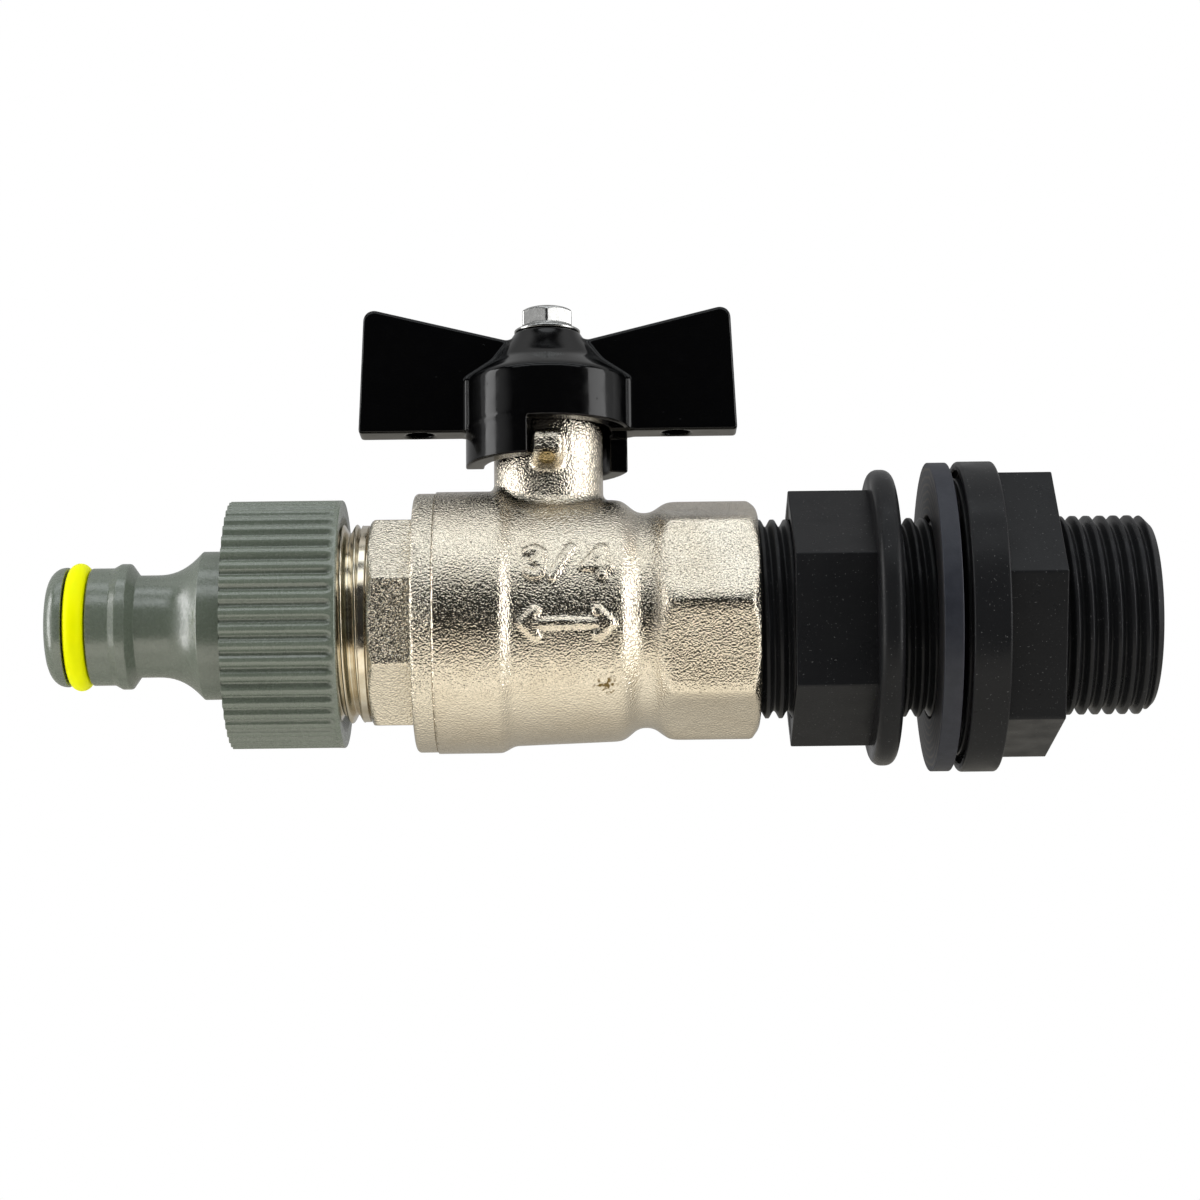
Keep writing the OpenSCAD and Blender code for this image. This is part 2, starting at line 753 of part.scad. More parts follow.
// Skirt under the hub in two parts, with a gap that the lug stops and a gap opposite that ends at the wing
module stop_skirt() {
    gap_from = lug_side - stop_half;
    gap_to = gap_from + handle_travel + 2 * stop_half;
    difference() {
        post(skirt_bottom, hub_bottom + edge_r, skirt_d / 2);
        for (gap = [[gap_from, gap_to], [gap_from + 180, 180]])
            translate([0, 0, skirt_bottom - over])
                linear_extrude(hub_bottom - skirt_bottom + over) wedge(hub_d, gap[0], gap[1]);
    }
}

// Butterfly handle with a hollow hub and a skirt that stops it against the lug
module handle() {
    hub_r = hub_d / 2;
    color("#141414")
    translate([stem_x, 0, 0])
    difference() {
        union() {
            turned_up([
                [0, hub_bottom, 0], [hub_r, hub_bottom, 0.3], [hub_r, hub_shoulder, 1.5],
                [hub_crease_d / 2, hub_crease, 0.6], [hub_brow_d / 2, hub_brow, 1.2],
                [hub_top_d / 2, hub_top, 0.3], [0, hub_top, 0]
            ]);
            for (side = [0, 180])
                rotate([0, 0, side]) rotate([90, 0, 0])
                    translate([0, 0, -wing_t / 2]) linear_extrude(wing_t) polygon(wing_outline());
            stop_skirt();
        }
        post(skirt_bottom - over, hollow_top, hollow_d / 2);
        intersection() {
            post(hollow_top - over, hub_top + over, flats_d / 2 + face_gap);
            translate([-flats_af / 2 - face_gap, -flats_d, 0])
                cube([flats_af + 2 * face_gap, 2 * flats_d, wing_top + over]);
        }
        for (side = [-1, 1])
            translate([side * wing_hole_at, 0, 0])
                post(wing_bottom - over, wing_bottom + wing_hole_depth, wing_hole_d / 2, 48);
    }
}

// Flange head screw that holds the handle on the stem
module handle_screw() {
    rim_h = 0.4;
    flange_foot = hub_top + 0.02;
    head_foot = hub_top + screw_flange_t;
    head_top = head_foot + screw_head_h;
    head_r = corner_r(screw_af, hexagon);
    crown_h = 1.1;
    crown_w = 1.6;
    color("#bfc2c4")
    translate([stem_x, 0, 0])
    union() {
        post(hub_top - screw_len, head_foot, screw_d / 2);
        turned_up([
            [0, flange_foot, 0], [screw_flange_d / 2, flange_foot, 0.1],
            [screw_flange_d / 2, hub_top + rim_h, 0.15], [screw_af / 2, head_foot, 0], [0, head_foot, 0]
        ]);
        intersection() {
            rotate([0, 0, 30]) post(hub_top + rim_h, head_top, head_r, hexagon);
            turned_up([
                [0, hub_top, 0], [head_r, hub_top, 0], [head_r, head_top - crown_h, 0.3],
                [head_r - crown_w, head_top, 0.6], [0, head_top, 0]
            ]);
        }
    }
}

// Hose connector: a ribbed threaded collar and a quick coupling spigot in one moulding
module hose_connector() {
    neck_end = collar_left - root_len - flare_len;
    ridge_foot = neck_end - latch_neck_len;
    ridge_end = ridge_foot - ridge_rise - ridge_len;
    barrel_start = ridge_end - ridge_ramp;
    groove_start = barrel_start - barrel_len;
    head_start = groove_start - groove_len;
    tip = head_start - head_len;
    root_start = collar_left - root_len;
    band_start = collar_right - collar_band;
    bore_r = spigot_bore_d / 2;
    lip_r = washer_bore_d / 2 - 1.4;
    flare_r = 4.2;
    root_chamfer = 0.7;
    mouth_chamfer = 0.8;
    tip_chamfer = 0.5;
    band_r = collar_d / 2 + 0.05;
    rib_inset = 0.1;
    color("#6f7a6c")
    translate([stem_x, 0, 0])
    difference() {
        union() {
            turned([
                [tip, 0, 0], [tip, head_d / 2, head_r], [head_start, head_d / 2, 0.2],
                [head_start, ring_groove_r, 0], [groove_start, ring_groove_r, 0],
                [groove_start, barrel_d / 2, 0.2], [barrel_start, barrel_d / 2, 0.4],
                [ridge_end, ridge_d / 2, 0.4], [ridge_foot - ridge_rise, ridge_d / 2, 0.3],
                [ridge_foot, latch_neck_d / 2, 0.3], [neck_end, latch_neck_d / 2, 0],
                [neck_end + flare_len * 0.5, latch_neck_d / 2, flare_r],
                [root_start - root_chamfer, root_d / 2 - root_chamfer, 0],
                [root_start, root_d / 2, 0], [collar_left + over, root_d / 2, 0],
                [collar_left + over, 0, 0]
            ]);
            turned([
                [collar_left, 0, 0], [collar_left, collar_core_r, 0],
                [band_start, collar_core_r, 0], [band_start, band_r, 0],
                [collar_right, band_r, 0.6], [collar_right, 0, 0]
            ]);
            for (i = [0 : rib_count - 1])
                rotate([360 / rib_count * i, 0, 0]) translate([0, 0, collar_d / 2 - rib_r])
                    rod(collar_left + rib_inset, band_start + rib_inset, rib_r, 24);
        }
        rod(washer_seat, collar_right + over, socket_r);
        turned([
            [collar_right - mouth_chamfer, 0, 0], [collar_right - mouth_chamfer, socket_r, 0],
            [collar_right + over, socket_r + mouth_chamfer + over, 0], [collar_right + over, 0, 0]
        ]);
        turned([
            [tip - over, 0, 0], [tip - over, bore_r + tip_chamfer + over, 0],
            [tip + tip_chamfer, bore_r, 0], [neck_end, bore_r, 0],
            [washer_seat, lip_r, 0], [washer_seat + over, lip_r, 0], [washer_seat + over, 0, 0]
        ]);
    }
}

// Flat washer that seals the collar against the outlet thread
module connector_washer() {
    color("#26282a")
    translate([stem_x, 0, 0])
    pipe_ring(washer_seat + face_gap, washer_seat + washer_t, washer_bore_d / 2, thread_r - 0.15);
}

// O-ring that seals the hose coupling on the spigot
module spigot_o_ring() {
    spigot_len = root_len + flare_len + latch_neck_len + ridge_rise + ridge_len + ridge_ramp + barrel_len;
    color("#a8c23a")
    translate([stem_x, 0, 0])
    pipe_o_ring(collar_left - spigot_len - groove_len / 2, spigot_ring_d / 2, spigot_ring_t);
}

tank_connector();
lock_nut();
tank_gasket();
valve_body();
end_cap();
cap_o_ring();
ball();
inlet_seat();
outlet_seat();
stem();
thrust_washer();
stem_o_ring();
stem_packing();
gland_nut();
handle();
handle_screw();
hose_connector();
connector_washer();
spigot_o_ring();
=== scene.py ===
"""Looks of the rain barrel tap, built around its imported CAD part.

Shapes are worked out in millimetres in the part's frame: x along the pipe into the barrel, z up the stem.
Turned, ribbed, threaded and faceted pieces are lofted from rings. The valve body, the handle and its
screw are surfaces of a distance field, so that their fillets run into each other as they do in metal.
"""

import math

import bpy
import numpy as np
from mathutils import Matrix, Vector


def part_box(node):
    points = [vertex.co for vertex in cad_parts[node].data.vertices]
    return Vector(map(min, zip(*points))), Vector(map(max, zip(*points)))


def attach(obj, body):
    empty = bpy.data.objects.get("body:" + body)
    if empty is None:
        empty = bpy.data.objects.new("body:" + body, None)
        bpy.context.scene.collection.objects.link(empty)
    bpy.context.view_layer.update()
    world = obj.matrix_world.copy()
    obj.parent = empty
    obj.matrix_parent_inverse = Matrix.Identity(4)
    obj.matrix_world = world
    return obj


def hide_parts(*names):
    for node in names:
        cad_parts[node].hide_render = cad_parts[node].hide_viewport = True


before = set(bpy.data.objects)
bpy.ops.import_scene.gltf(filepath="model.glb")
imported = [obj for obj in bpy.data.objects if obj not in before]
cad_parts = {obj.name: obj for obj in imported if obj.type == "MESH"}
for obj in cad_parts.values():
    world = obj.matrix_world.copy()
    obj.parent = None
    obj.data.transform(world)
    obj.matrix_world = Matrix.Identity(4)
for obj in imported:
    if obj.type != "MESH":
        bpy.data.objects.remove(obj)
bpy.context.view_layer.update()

MM = 0.001


def box_mm(node):
    """Lowest and highest corner of a CAD node, in millimetres."""
    low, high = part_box(node)
    return np.array(low) / MM, np.array(high) / MM


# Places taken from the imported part
STEM_X = float(sum(corner[0] for corner in box_mm("stem")) / 2)
TUBE_LEFT, TUBE_RIGHT = (float(corner[0]) for corner in box_mm("tank_connector"))
FLANGE_R = float(box_mm("tank_connector")[1][1])
GASKET_LEFT, GASKET_RIGHT = (float(corner[0]) for corner in box_mm("tank_gasket"))
GASKET_R = float(box_mm("tank_gasket")[1][1])
NUT_LEFT, NUT_RIGHT = (float(corner[0]) for corner in box_mm("lock_nut"))
NUT_R = float(box_mm("lock_nut")[1][1])
BODY_LEFT, BODY_RIGHT = (float(corner[0]) for corner in box_mm("valve_body"))
BAND_R = -float(box_mm("valve_body")[0][2])
NECK_TOP = float(box_mm("valve_body")[1][2])
OUTLET_END = float(box_mm("end_cap")[0][0])
CAP_R = float(box_mm("end_cap")[1][1])
WING_REACH = float(box_mm("handle")[1][0]) - STEM_X
SKIRT_BOTTOM, WING_TOP = (float(corner[2]) for corner in box_mm("handle"))
SCREW_TOP = float(box_mm("handle_screw")[1][2])
TIP, COLLAR_RIGHT = (float(corner[0]) for corner in box_mm("hose_connector"))
COLLAR_R = float(box_mm("hose_connector")[1][1])
RING_LEFT, RING_RIGHT = (float(corner[0]) for corner in box_mm("spigot_o_ring"))
RING_R = float(box_mm("spigot_o_ring")[1][1])

# Pipe thread
PITCH = 1.814
THREAD_R = 13.22
THREAD_DEPTH = 1.16
THREAD_CHAMFER = 1.2
SOCKET_R = 13.27
BORE_R = 9.75

# Valve body: places along the pipe are from the stem, heights from the pipe's axis
WAIST_LEFT, WAIST_RIGHT, WAIST_R = 11.1, 14.0, 14.25
SHOULDER_R = 16.3
BODY_PROFILE = [
    (-16, BAND_R), (-6.3, BAND_R), (-4.8, 16.5), (10.3, 16.0),
    (WAIST_LEFT, WAIST_R), (WAIST_RIGHT, WAIST_R), (15.7, SHOULDER_R), (30, SHOULDER_R),
]
SOCKET_AF = 30.1
PASSAGE_R = 9.5
NECK_R = 7.3
LUG_REACH, LUG_TOP, LUG_FOOT = 9.8, 24.2, 20.2

# Hose connector
COLLAR_LEN = 14.6
COLLAR_CORE_R = 15.78
RIBS = 48
ROOT_R = 9.85

# Small mark in the plating, low on the front of the chamber
BLEMISH = (STEM_X + 7.3, -12.3, -10.7)

# Points round a turned piece
AROUND = 180


# Mesh helpers


def mesh_object(name, points, faces, material):
    """New object from points in millimetres and quads. The faces point outwards."""
    points = np.asarray(points, float)
    faces = np.asarray(faces, np.int64)
    a, b, c, d = (points[faces[:, k]] for k in range(4))
    volume = np.einsum("ij,ij->", a, np.cross(b, c)) + np.einsum("ij,ij->", a, np.cross(c, d))
    if volume < 0:
        faces = faces[:, ::-1]
    mesh = bpy.data.meshes.new(name)
    mesh.vertices.add(len(points))
    mesh.vertices.foreach_set("co", (points * MM).astype(np.float32).ravel())
    mesh.loops.add(len(faces) * 4)
    mesh.loops.foreach_set("vertex_index", faces.astype(np.int32).ravel())
    mesh.polygons.add(len(faces))
    mesh.polygons.foreach_set("loop_start", np.arange(0, len(faces) * 4, 4, dtype=np.int32))
    mesh.polygons.foreach_set("loop_total", np.full(len(faces), 4, np.int32))
    mesh.update(calc_edges=True)
    mesh.validate()
    mesh.shade_smooth()
    mesh.materials.append(material)
    made = bpy.data.objects.new(name, mesh)
    bpy.context.scene.collection.objects.link(made)
    return made


def joined(objects):
    """One object from several, which keeps the first one's name."""
    bpy.ops.object.select_all(action="DESELECT")
    for o in objects:
        o.select_set(True)
    bpy.context.view_layer.objects.active = objects[0]
    bpy.ops.object.join()
    return objects[0]


# Half the angle between two edges above which a corner stays a point: any corner, and one without a radius
STRAIGHT, NEARLY_STRAIGHT = math.radians(88), math.radians(80)
LEAST_RADIUS = 0.03

# Largest share of an edge that one corner takes, and length and largest share of the short edge beside it
CORNER_SHARE, SUPPORT, SUPPORT_SHARE = 0.42, 0.06, 0.06

# Degrees between the points of an arc, for radii up to the small one and above it
SMALL_RADIUS, SMALL_ARC_STEP, ARC_STEP = 0.5, 22, 12


def rounded(points):
    """Closed outline through points of the form (along, out, corner radius).

    A short edge beside each corner keeps smooth shading flat on the faces.
    """
    outline = []
    for i, (x, y, radius) in enumerate(points):
        here = np.array([x, y], float)
        back = np.array(points[i - 1][:2], float) - here
        ahead = np.array(points[(i + 1) % len(points)][:2], float) - here
        back_len, ahead_len = np.linalg.norm(back), np.linalg.norm(ahead)
        back, ahead = back / back_len, ahead / ahead_len
        half = math.acos(float(np.clip(back @ ahead, -1, 1))) / 2
        if half > STRAIGHT or (not radius and half > NEARLY_STRAIGHT):
            outline.append(here)
            continue
        room = CORNER_SHARE * min(back_len, ahead_len)
        reach = min(max(radius, LEAST_RADIUS) / math.tan(half), room)
        radius = reach * math.tan(half)
        centre = here + (back + ahead) / np.linalg.norm(back + ahead) * radius / math.sin(half)
        start = here + back * reach - centre
        end = here + ahead * reach - centre
        first = math.atan2(start[1], start[0])
        sweep = (math.atan2(end[1], end[0]) - first + math.pi) % (2 * math.pi) - math.pi
        arc_step = ARC_STEP if radius > SMALL_RADIUS else SMALL_ARC_STEP
        steps = max(2, math.ceil(abs(math.degrees(sweep)) / arc_step))
        outline.append(here + back * (reach + min(SUPPORT, SUPPORT_SHARE * back_len)))
        for k in range(steps + 1):
            angle = first + sweep * k / steps
            outline.append(centre + radius * np.array([math.cos(angle), math.sin(angle)]))
        outline.append(here + ahead * (reach + min(SUPPORT, SUPPORT_SHARE * ahead_len)))
    return np.array(outline)


def finer(outline, spans, step):
    """The outline with points at most a step apart on edges that lie within one of the spans of x."""
    made = []
    for i, here in enumerate(outline):
        ahead = outline[(i + 1) % len(outline)]
        made.append(here)
        inside = any(low <= here[0] <= high and low <= ahead[0] <= high for low, high in spans)
        count = math.ceil(np.linalg.norm(ahead - here) / step) if inside else 1
        made.extend(here + (ahead - here) * k / count for k in range(1, count))
    return np.array(made)


def loft(name, rings, material):
    """Closed solid through rings of (along, y, z) points, the last of which joins the first."""
    rings = np.asarray(rings, float)
    count, around = rings.shape[:2]
    i, j = np.meshgrid(np.arange(count), np.arange(around), indexing="ij")
    up, right = (i + 1) % count, (j + 1) % around
    faces = np.stack([i * around + j, i * around + right, up * around + right, up * around + j], -1)
    return mesh_object(name, rings.reshape(-1, 3), faces.reshape(-1, 4), material)


def turned(name, outline, material, shape=None, around=AROUND):
    """Solid of revolution from a closed outline of (along, radius).

    A shape is a function that changes the radii by place and angle.
    """
    angle = np.arange(around) * 2 * math.pi / around
    along, angles = np.meshgrid(outline[:, 0], angle, indexing="ij")
    radius = np.repeat(outline[:, 1:2], around, 1)
    if shape:
        radius = shape(along, radius, angles)
    rings = np.stack([along, radius * np.cos(angles), radius * np.sin(angles)], -1)
    return loft(name, rings, material)


def thread_surface(along, angle, crest, phase):
    """Radius of a right-hand pipe thread with rounded crests and roots."""
    turn = (along / PITCH - angle / (2 * math.pi) + phase) % 1
    height = 1 - 4 * np.abs(turn - 0.5)
    return crest - THREAD_DEPTH / 2 + THREAD_DEPTH / 2 * (3 * height - height**3) / 2


# Points along a polygon's side, as shares of half its flat, and steps round its corner
FLAT_SHARES = (-1, -0.97, -0.6, -0.2, 0.2, 0.6, 0.97)
CORNER_STEPS = 5


def polygon_ring(apothem, sides, corner_r, turn, at):
    """Ring of a polygon with rounded corners, as (along, y, z) points."""
    points = []
    half = math.pi / sides
    flat = (apothem - corner_r) * math.tan(half)
    for side in range(sides):
        angle = math.radians(turn) + side * 2 * half
        out = np.array([math.cos(angle), math.sin(angle)])
        on = np.array([-math.sin(angle), math.cos(angle)])
        for share in FLAT_SHARES:
            points.append(out * apothem + on * flat * share)
        corner = out * (apothem - corner_r) + on * flat
        for k in range(CORNER_STEPS):
            swing = angle + 2 * half * k / CORNER_STEPS
            points.append(corner + corner_r * np.array([math.cos(swing), math.sin(swing)]))
    points = np.array(points)
    return np.column_stack([np.full(len(points), at), points])


# A ring whose apothem is within this of the bore's radius lies on the bore
ON_BORE = 0.02


def prism(name, outline, sides, corner_r, turn, bore, material, chamfer=None):
    """Prism from a closed outline of (along, apothem), whose rings on the bore are round.

    A chamfer of (place, radius, slope) is a cone that trims the corners at the low end.
    """
    rings = []
    for along, apothem in outline:
        ring = polygon_ring(max(apothem, bore + ON_BORE / 2), sides, corner_r, turn, along)
        if apothem <= bore + ON_BORE:
            angle = np.arctan2(ring[:, 2], ring[:, 1])
            ring[:, 1], ring[:, 2] = bore * np.cos(angle), bore * np.sin(angle)
        elif chamfer:
            place, radius, slope = chamfer
            limit = radius + (along - place) * slope
            ring[:, 1:] *= np.minimum(limit / np.hypot(ring[:, 1], ring[:, 2]), 1)[:, None]
        rings.append(ring)
    return loft(name, rings, material)


# Distance fields, in millimetres, negative inside


def join(a, b, r=0.0):
    """Both shapes, with a fillet between them."""
    if not r:
        return np.minimum(a, b)
    return np.maximum(r, np.minimum(a, b)) - np.hypot(np.maximum(r - a, 0), np.maximum(r - b, 0))


def meet(a, b, r=0.0):
    """What the two shapes share, with a rounded edge."""
    if not r:
        return np.maximum(a, b)
    return np.minimum(-r, np.maximum(a, b)) + np.hypot(np.maximum(r + a, 0), np.maximum(r + b, 0))


def between(value, low, high):
    return np.abs(value - (low + high) / 2) - (high - low) / 2


def polygon_field(p, q, sides, across, turn, corner_r):
    """Regular polygon with rounded corners. At turn 0 a flat faces along p."""
    half = math.pi / sides
    r, angle = np.hypot(p, q), np.arctan2(q, p) - math.radians(turn)
    angle = (angle + half) % (2 * half) - half
    p, q = r * np.cos(angle), np.abs(r * np.sin(angle))
    apothem = across / 2 - corner_r
    edge = apothem * math.tan(half)
    return np.where(q > edge, np.hypot(np.maximum(p - apothem, 0), q - edge), p - apothem) - corner_r


# Step of a softened profile, how far it goes past its ends, and samples to either side that soften one
PROFILE_STEP, PROFILE_MARGIN, PROFILE_WINDOW = 0.05, 5, 60


def smooth_profile(points, softness):
    """Radius as a function of x, from corner points whose corners are softened."""
    fine = np.arange(points[0][0] - PROFILE_MARGIN, points[-1][0] + PROFILE_MARGIN, PROFILE_STEP)
    radius = np.interp(fine, *zip(*points))
    offsets = np.arange(-PROFILE_WINDOW, PROFILE_WINDOW + 1) * PROFILE_STEP
    weights = np.exp(-0.5 * (offsets / softness) ** 2)
    radius = np.convolve(np.pad(radius, PROFILE_WINDOW, mode="edge"), weights / weights.sum(), "valid")
    return lambda x: np.interp(x, fine, radius)


CORNERS = np.array([(i, j, k) for i in (0, 1) for j in (0, 1) for k in (0, 1)])
EDGES = [(a, b) for a in range(8) for b in range(a + 1, 8) if np.abs(CORNERS[a] - CORNERS[b]).sum() == 1]

# Steps of grid beyond the low and the high corner of the box
GRID_BEFORE, GRID_AFTER = 2.37, 3


def surface(name, field, low, high, step, material):
    """Object made of the surface on which a field is zero."""
    low = np.array(low, float) - GRID_BEFORE * step
    axes = [np.arange(low[k], high[k] + GRID_AFTER * step, step) for k in range(3)]
    shape = tuple(len(a) for a in axes)
    grid = np.meshgrid(*axes, indexing="ij", sparse=True)
    value = np.broadcast_to(field(*grid), shape).astype(np.float32)
    inside = value < 0
    blocks = [
        inside[i : shape[0] - 1 + i, j : shape[1] - 1 + j, k : shape[2] - 1 + k] for i, j, k in CORNERS
    ]
    count = sum(b.astype(np.int8) for b in blocks)
    cells = np.argwhere((count > 0) & (count < 8))
    index = np.full(count.shape, -1, np.int64)
    index[tuple(cells.T)] = np.arange(len(cells))
    at_corner = np.stack([value[tuple((cells + c).T)] for c in CORNERS], 1).astype(float)
    total, hits = np.zeros((len(cells), 3)), np.zeros(len(cells))
    for a, b in EDGES:
        first, second = at_corner[:, a], at_corner[:, b]
        crosses = (first < 0) != (second < 0)
        share = np.where(crosses, first / np.where(crosses, first - second, 1), 0)
        total += crosses[:, None] * (CORNERS[a] + share[:, None] * (CORNERS[b] - CORNERS[a]))
        hits += crosses
    points = low + (cells + total / hits[:, None]) * step
    faces = []
    for axis in range(3):
        lower = np.take(inside, np.arange(shape[axis] - 1), axis)
        upper = np.take(inside, np.arange(1, shape[axis]), axis)
        place = np.argwhere(lower != upper)
        side, up = np.eye(3, dtype=int)[(axis + 1) % 3], np.eye(3, dtype=int)[(axis + 2) % 3]
        quad = np.stack([index[tuple((place - s).T)] for s in (side + up, up, 0 * up, side)], 1)
        faces.append(np.where(lower[tuple(place.T)][:, None], quad, quad[:, ::-1]))
    points = settled(points, field)
    return mesh_object(name, points, np.concatenate(faces), material)


def settled(points, field, rounds=3, nudge=0.02, least_slope=0.2, longest=0.15):
    """Points moved onto the surface of a field, by a limited move in each round."""
    for _ in range(rounds):
        value = field(*points.T)
        ahead = [field(*(points + nudge * d).T) for d in np.eye(3)]
        behind = [field(*(points - nudge * d).T) for d in np.eye(3)]
        slope = (np.stack(ahead, 1) - np.stack(behind, 1)) / (2 * nudge)
        size = np.maximum((slope**2).sum(1), least_slope)
        points = points - np.clip(value / size, -longest, longest)[:, None] * slope
    return points


# Materials


class Tree:
    """Short forms for building a tree of shader nodes."""

    def __init__(self, tree):
        self.tree = tree

    def link(self, out, into):
        self.tree.links.new(out, into)

    def fill(self, sockets, values):
        """Sets each socket to a number or links it to another node's output."""
        for socket, value in zip(sockets, values):
            if isinstance(value, (int, float)):
                socket.default_value = value
            else:
                self.link(value, socket)

    def output(self, kind, name):
        return self.tree.nodes.new(kind).outputs[name]

    def maths(self, operation, *values):
        node = self.tree.nodes.new("ShaderNodeMath")
        node.operation = operation
        self.fill(node.inputs, values)
        return node.outputs[0]

    def ranged(self, value, low, high, to_low, to_high, smooth=False):
        """The value's span from low to high, spread from to_low to to_high and held there."""
        node = self.tree.nodes.new("ShaderNodeMapRange")
        if smooth:
            node.interpolation_type = "SMOOTHSTEP"
        names = ("Value", "From Min", "From Max", "To Min", "To Max")
        self.fill([node.inputs[name] for name in names], (value, low, high, to_low, to_high))
        return node.outputs["Result"]

    def split(self, vector):
        """The x, y and z of a vector."""
        node = self.tree.nodes.new("ShaderNodeSeparateXYZ")
        self.link(vector, node.inputs["Vector"])
        return [node.outputs[axis] for axis in "XYZ"]

    def either(self, *shares):
        """The largest of several shares."""
        most = shares[0]
        for share in shares[1:]:
            most = self.maths("MAXIMUM", most, share)
        return most

    def blend(self, share, without, with_it):
        """Shader from one to another by a share."""
        node = self.tree.nodes.new("ShaderNodeMixShader")
        self.fill(node.inputs, (share, without, with_it))
        return node.outputs["Shader"]


class Nodes(Tree):
    """Tree of a principled material."""

    def __init__(self, name, colour, roughness, metallic=0.0, specular=0.5, coat=0.0, coat_roughness=0.05):
        self.material = bpy.data.materials.new(name)
        self.material.use_nodes = True
        super().__init__(self.material.node_tree)
        self.shader = self.tree.nodes["Principled BSDF"]
        self.shader.inputs["Base Color"].default_value = (*colour, 1)
        self.shader.inputs["Roughness"].default_value = roughness
        self.shader.inputs["Metallic"].default_value = metallic
        self.shader.inputs["Specular IOR Level"].default_value = specular
        self.shader.inputs["Coat Weight"].default_value = coat
        self.shader.inputs["Coat Roughness"].default_value = coat_roughness
        self.place = self.output("ShaderNodeTexCoord", "Object")

    def noise(self, size_mm, detail, stretch=(1, 1, 1)):
        """Noise whose grains are about that many millimetres across."""
        mapping = self.tree.nodes.new("ShaderNodeMapping")
        mapping.inputs["Scale"].default_value = [s / (size_mm * MM) for s in stretch]
        noise = self.tree.nodes.new("ShaderNodeTexNoise")
        noise.inputs["Scale"].default_value = 1.0
        noise.inputs["Detail"].default_value = detail
        self.link(self.place, mapping.inputs["Vector"])
        self.link(mapping.outputs["Vector"], noise.inputs["Vector"])
        return noise.outputs["Fac"]

    def patches(self, size_mm, detail, low, high, to_low=0, to_high=1):
        """Noise whose span from low to high is spread from to_low to to_high."""
        return self.ranged(self.noise(size_mm, detail), low, high, to_low, to_high)

    def spot(self, centre, radius, ragged=0.0):
        """Share that is 1 within a radius of a place, both in millimetres, with a soft or ragged edge."""
        node = self.tree.nodes.new("ShaderNodeVectorMath")
        node.operation = "DISTANCE"
        self.link(self.place, node.inputs[0])
        node.inputs[1].default_value = [c * MM for c in centre]
        share = self.ranged(node.outputs["Value"], radius * MM, radius * 0.6 * MM, 0, 1)
        if ragged:
            share = self.maths("MULTIPLY", share, self.patches(ragged, 2, 0.5, 0.6))
        return share

    def mixed(self, share, a, b):
        """Colour from a to b by a share."""
        node = self.tree.nodes.new("ShaderNodeMix")
        node.data_type = "RGBA"
        self.link(share, node.inputs["Factor"])
        for socket, value in zip([s for s in node.inputs if s.type == "RGBA"], (a, b)):
            if isinstance(value, tuple):
                socket.default_value = (*value, 1)
            else:
                self.link(value, socket)
        return [s for s in node.outputs if s.type == "RGBA"][0]

    def colour(self, out):
        self.link(out, self.shader.inputs["Base Color"])

    def roughness(self, out):
        self.link(out, self.shader.inputs["Roughness"])

    def bump(self, height, depth_mm, after=None):
        """Raises the surface by the height's value times a depth."""
        node = self.tree.nodes.new("ShaderNodeBump")
        node.inputs["Distance"].default_value = depth_mm * MM
        self.link(height, node.inputs["Height"])
        if after:
            self.link(after, node.inputs["Normal"])
        self.link(node.outputs["Normal"], self.shader.inputs["Normal"])
        return node.outputs["Normal"]


def cast_nickel():
    """Plated forging: fine orange peel, with a painted warm reflection on the lug's foot and brass showing
    in a blemish.
    """
    n = Nodes("cast_nickel", (0.68, 0.62, 0.51), 0.24, metallic=1.0)
    plated = n.mixed(n.patches(9, 3, 0.3, 0.7), (0.75, 0.69, 0.58), (0.67, 0.60, 0.48))
    # Painted reflection: a warm brass colour on the lug's foot and sloped underside, in place of the warm
    # floor that this face reflects.
    painted_lug_reflection = n.spot((STEM_X, -LUG_REACH + 0.3, LUG_FOOT - 0.1), 1.6)
    plated_with_reflection = n.mixed(painted_lug_reflection, plated, (0.42, 0.32, 0.16))
    n.colour(n.mixed(n.spot(BLEMISH, 1.9, 0.7), plated_with_reflection, (0.16, 0.11, 0.04)))
    n.roughness(n.patches(1.5, 2, 0.3, 0.7, 0.1, 0.18))
    broad = n.bump(n.noise(3.5, 1), 0.06)
    n.bump(n.noise(0.26, 1.5), 0.155, after=broad)
    return n.material


def machined_nickel():
    """Plated thread, turned and a little brassy."""
    n = Nodes("machined_nickel", (0.74, 0.67, 0.53), 0.16, metallic=1.0)
    n.colour(n.mixed(n.patches(2.5, 3, 0.35, 0.7), (0.74, 0.69, 0.58), (0.6, 0.52, 0.38)))
    n.roughness(n.patches(0.9, 3, 0.3, 0.7, 0.12, 0.24))
    n.bump(n.noise(0.12, 1, stretch=(1, 0.02, 0.02)), 0.006)
    return n.material


def turned_nickel():
    """Plated flange and octagon of the end cap, with a grained shine."""
    n = Nodes("turned_nickel", (0.72, 0.66, 0.545), 0.3, metallic=1.0)
    n.colour(n.mixed(n.noise(6, 2), (0.76, 0.70, 0.585), (0.72, 0.66, 0.545)))
    n.roughness(n.patches(1.2, 3, 0.3, 0.7, 0.14, 0.24))
    n.bump(n.noise(0.28, 1.5), 0.22)
    return n.material


def coated_black():
    """Glossy black coat, a little wavy and with a few specks under it."""
    n = Nodes("black_coat", (0.0014, 0.0014, 0.0016), 0.13, specular=0.17, coat=0.1, coat_roughness=0.04)
    n.roughness(n.patches(1.6, 3, 0.35, 0.7, 0.09, 0.2))
    broad = n.bump(n.noise(5, 1), 0.12)
    n.bump(n.patches(0.8, 1, 0.76, 0.82), 0.04, after=broad)
    return n.material


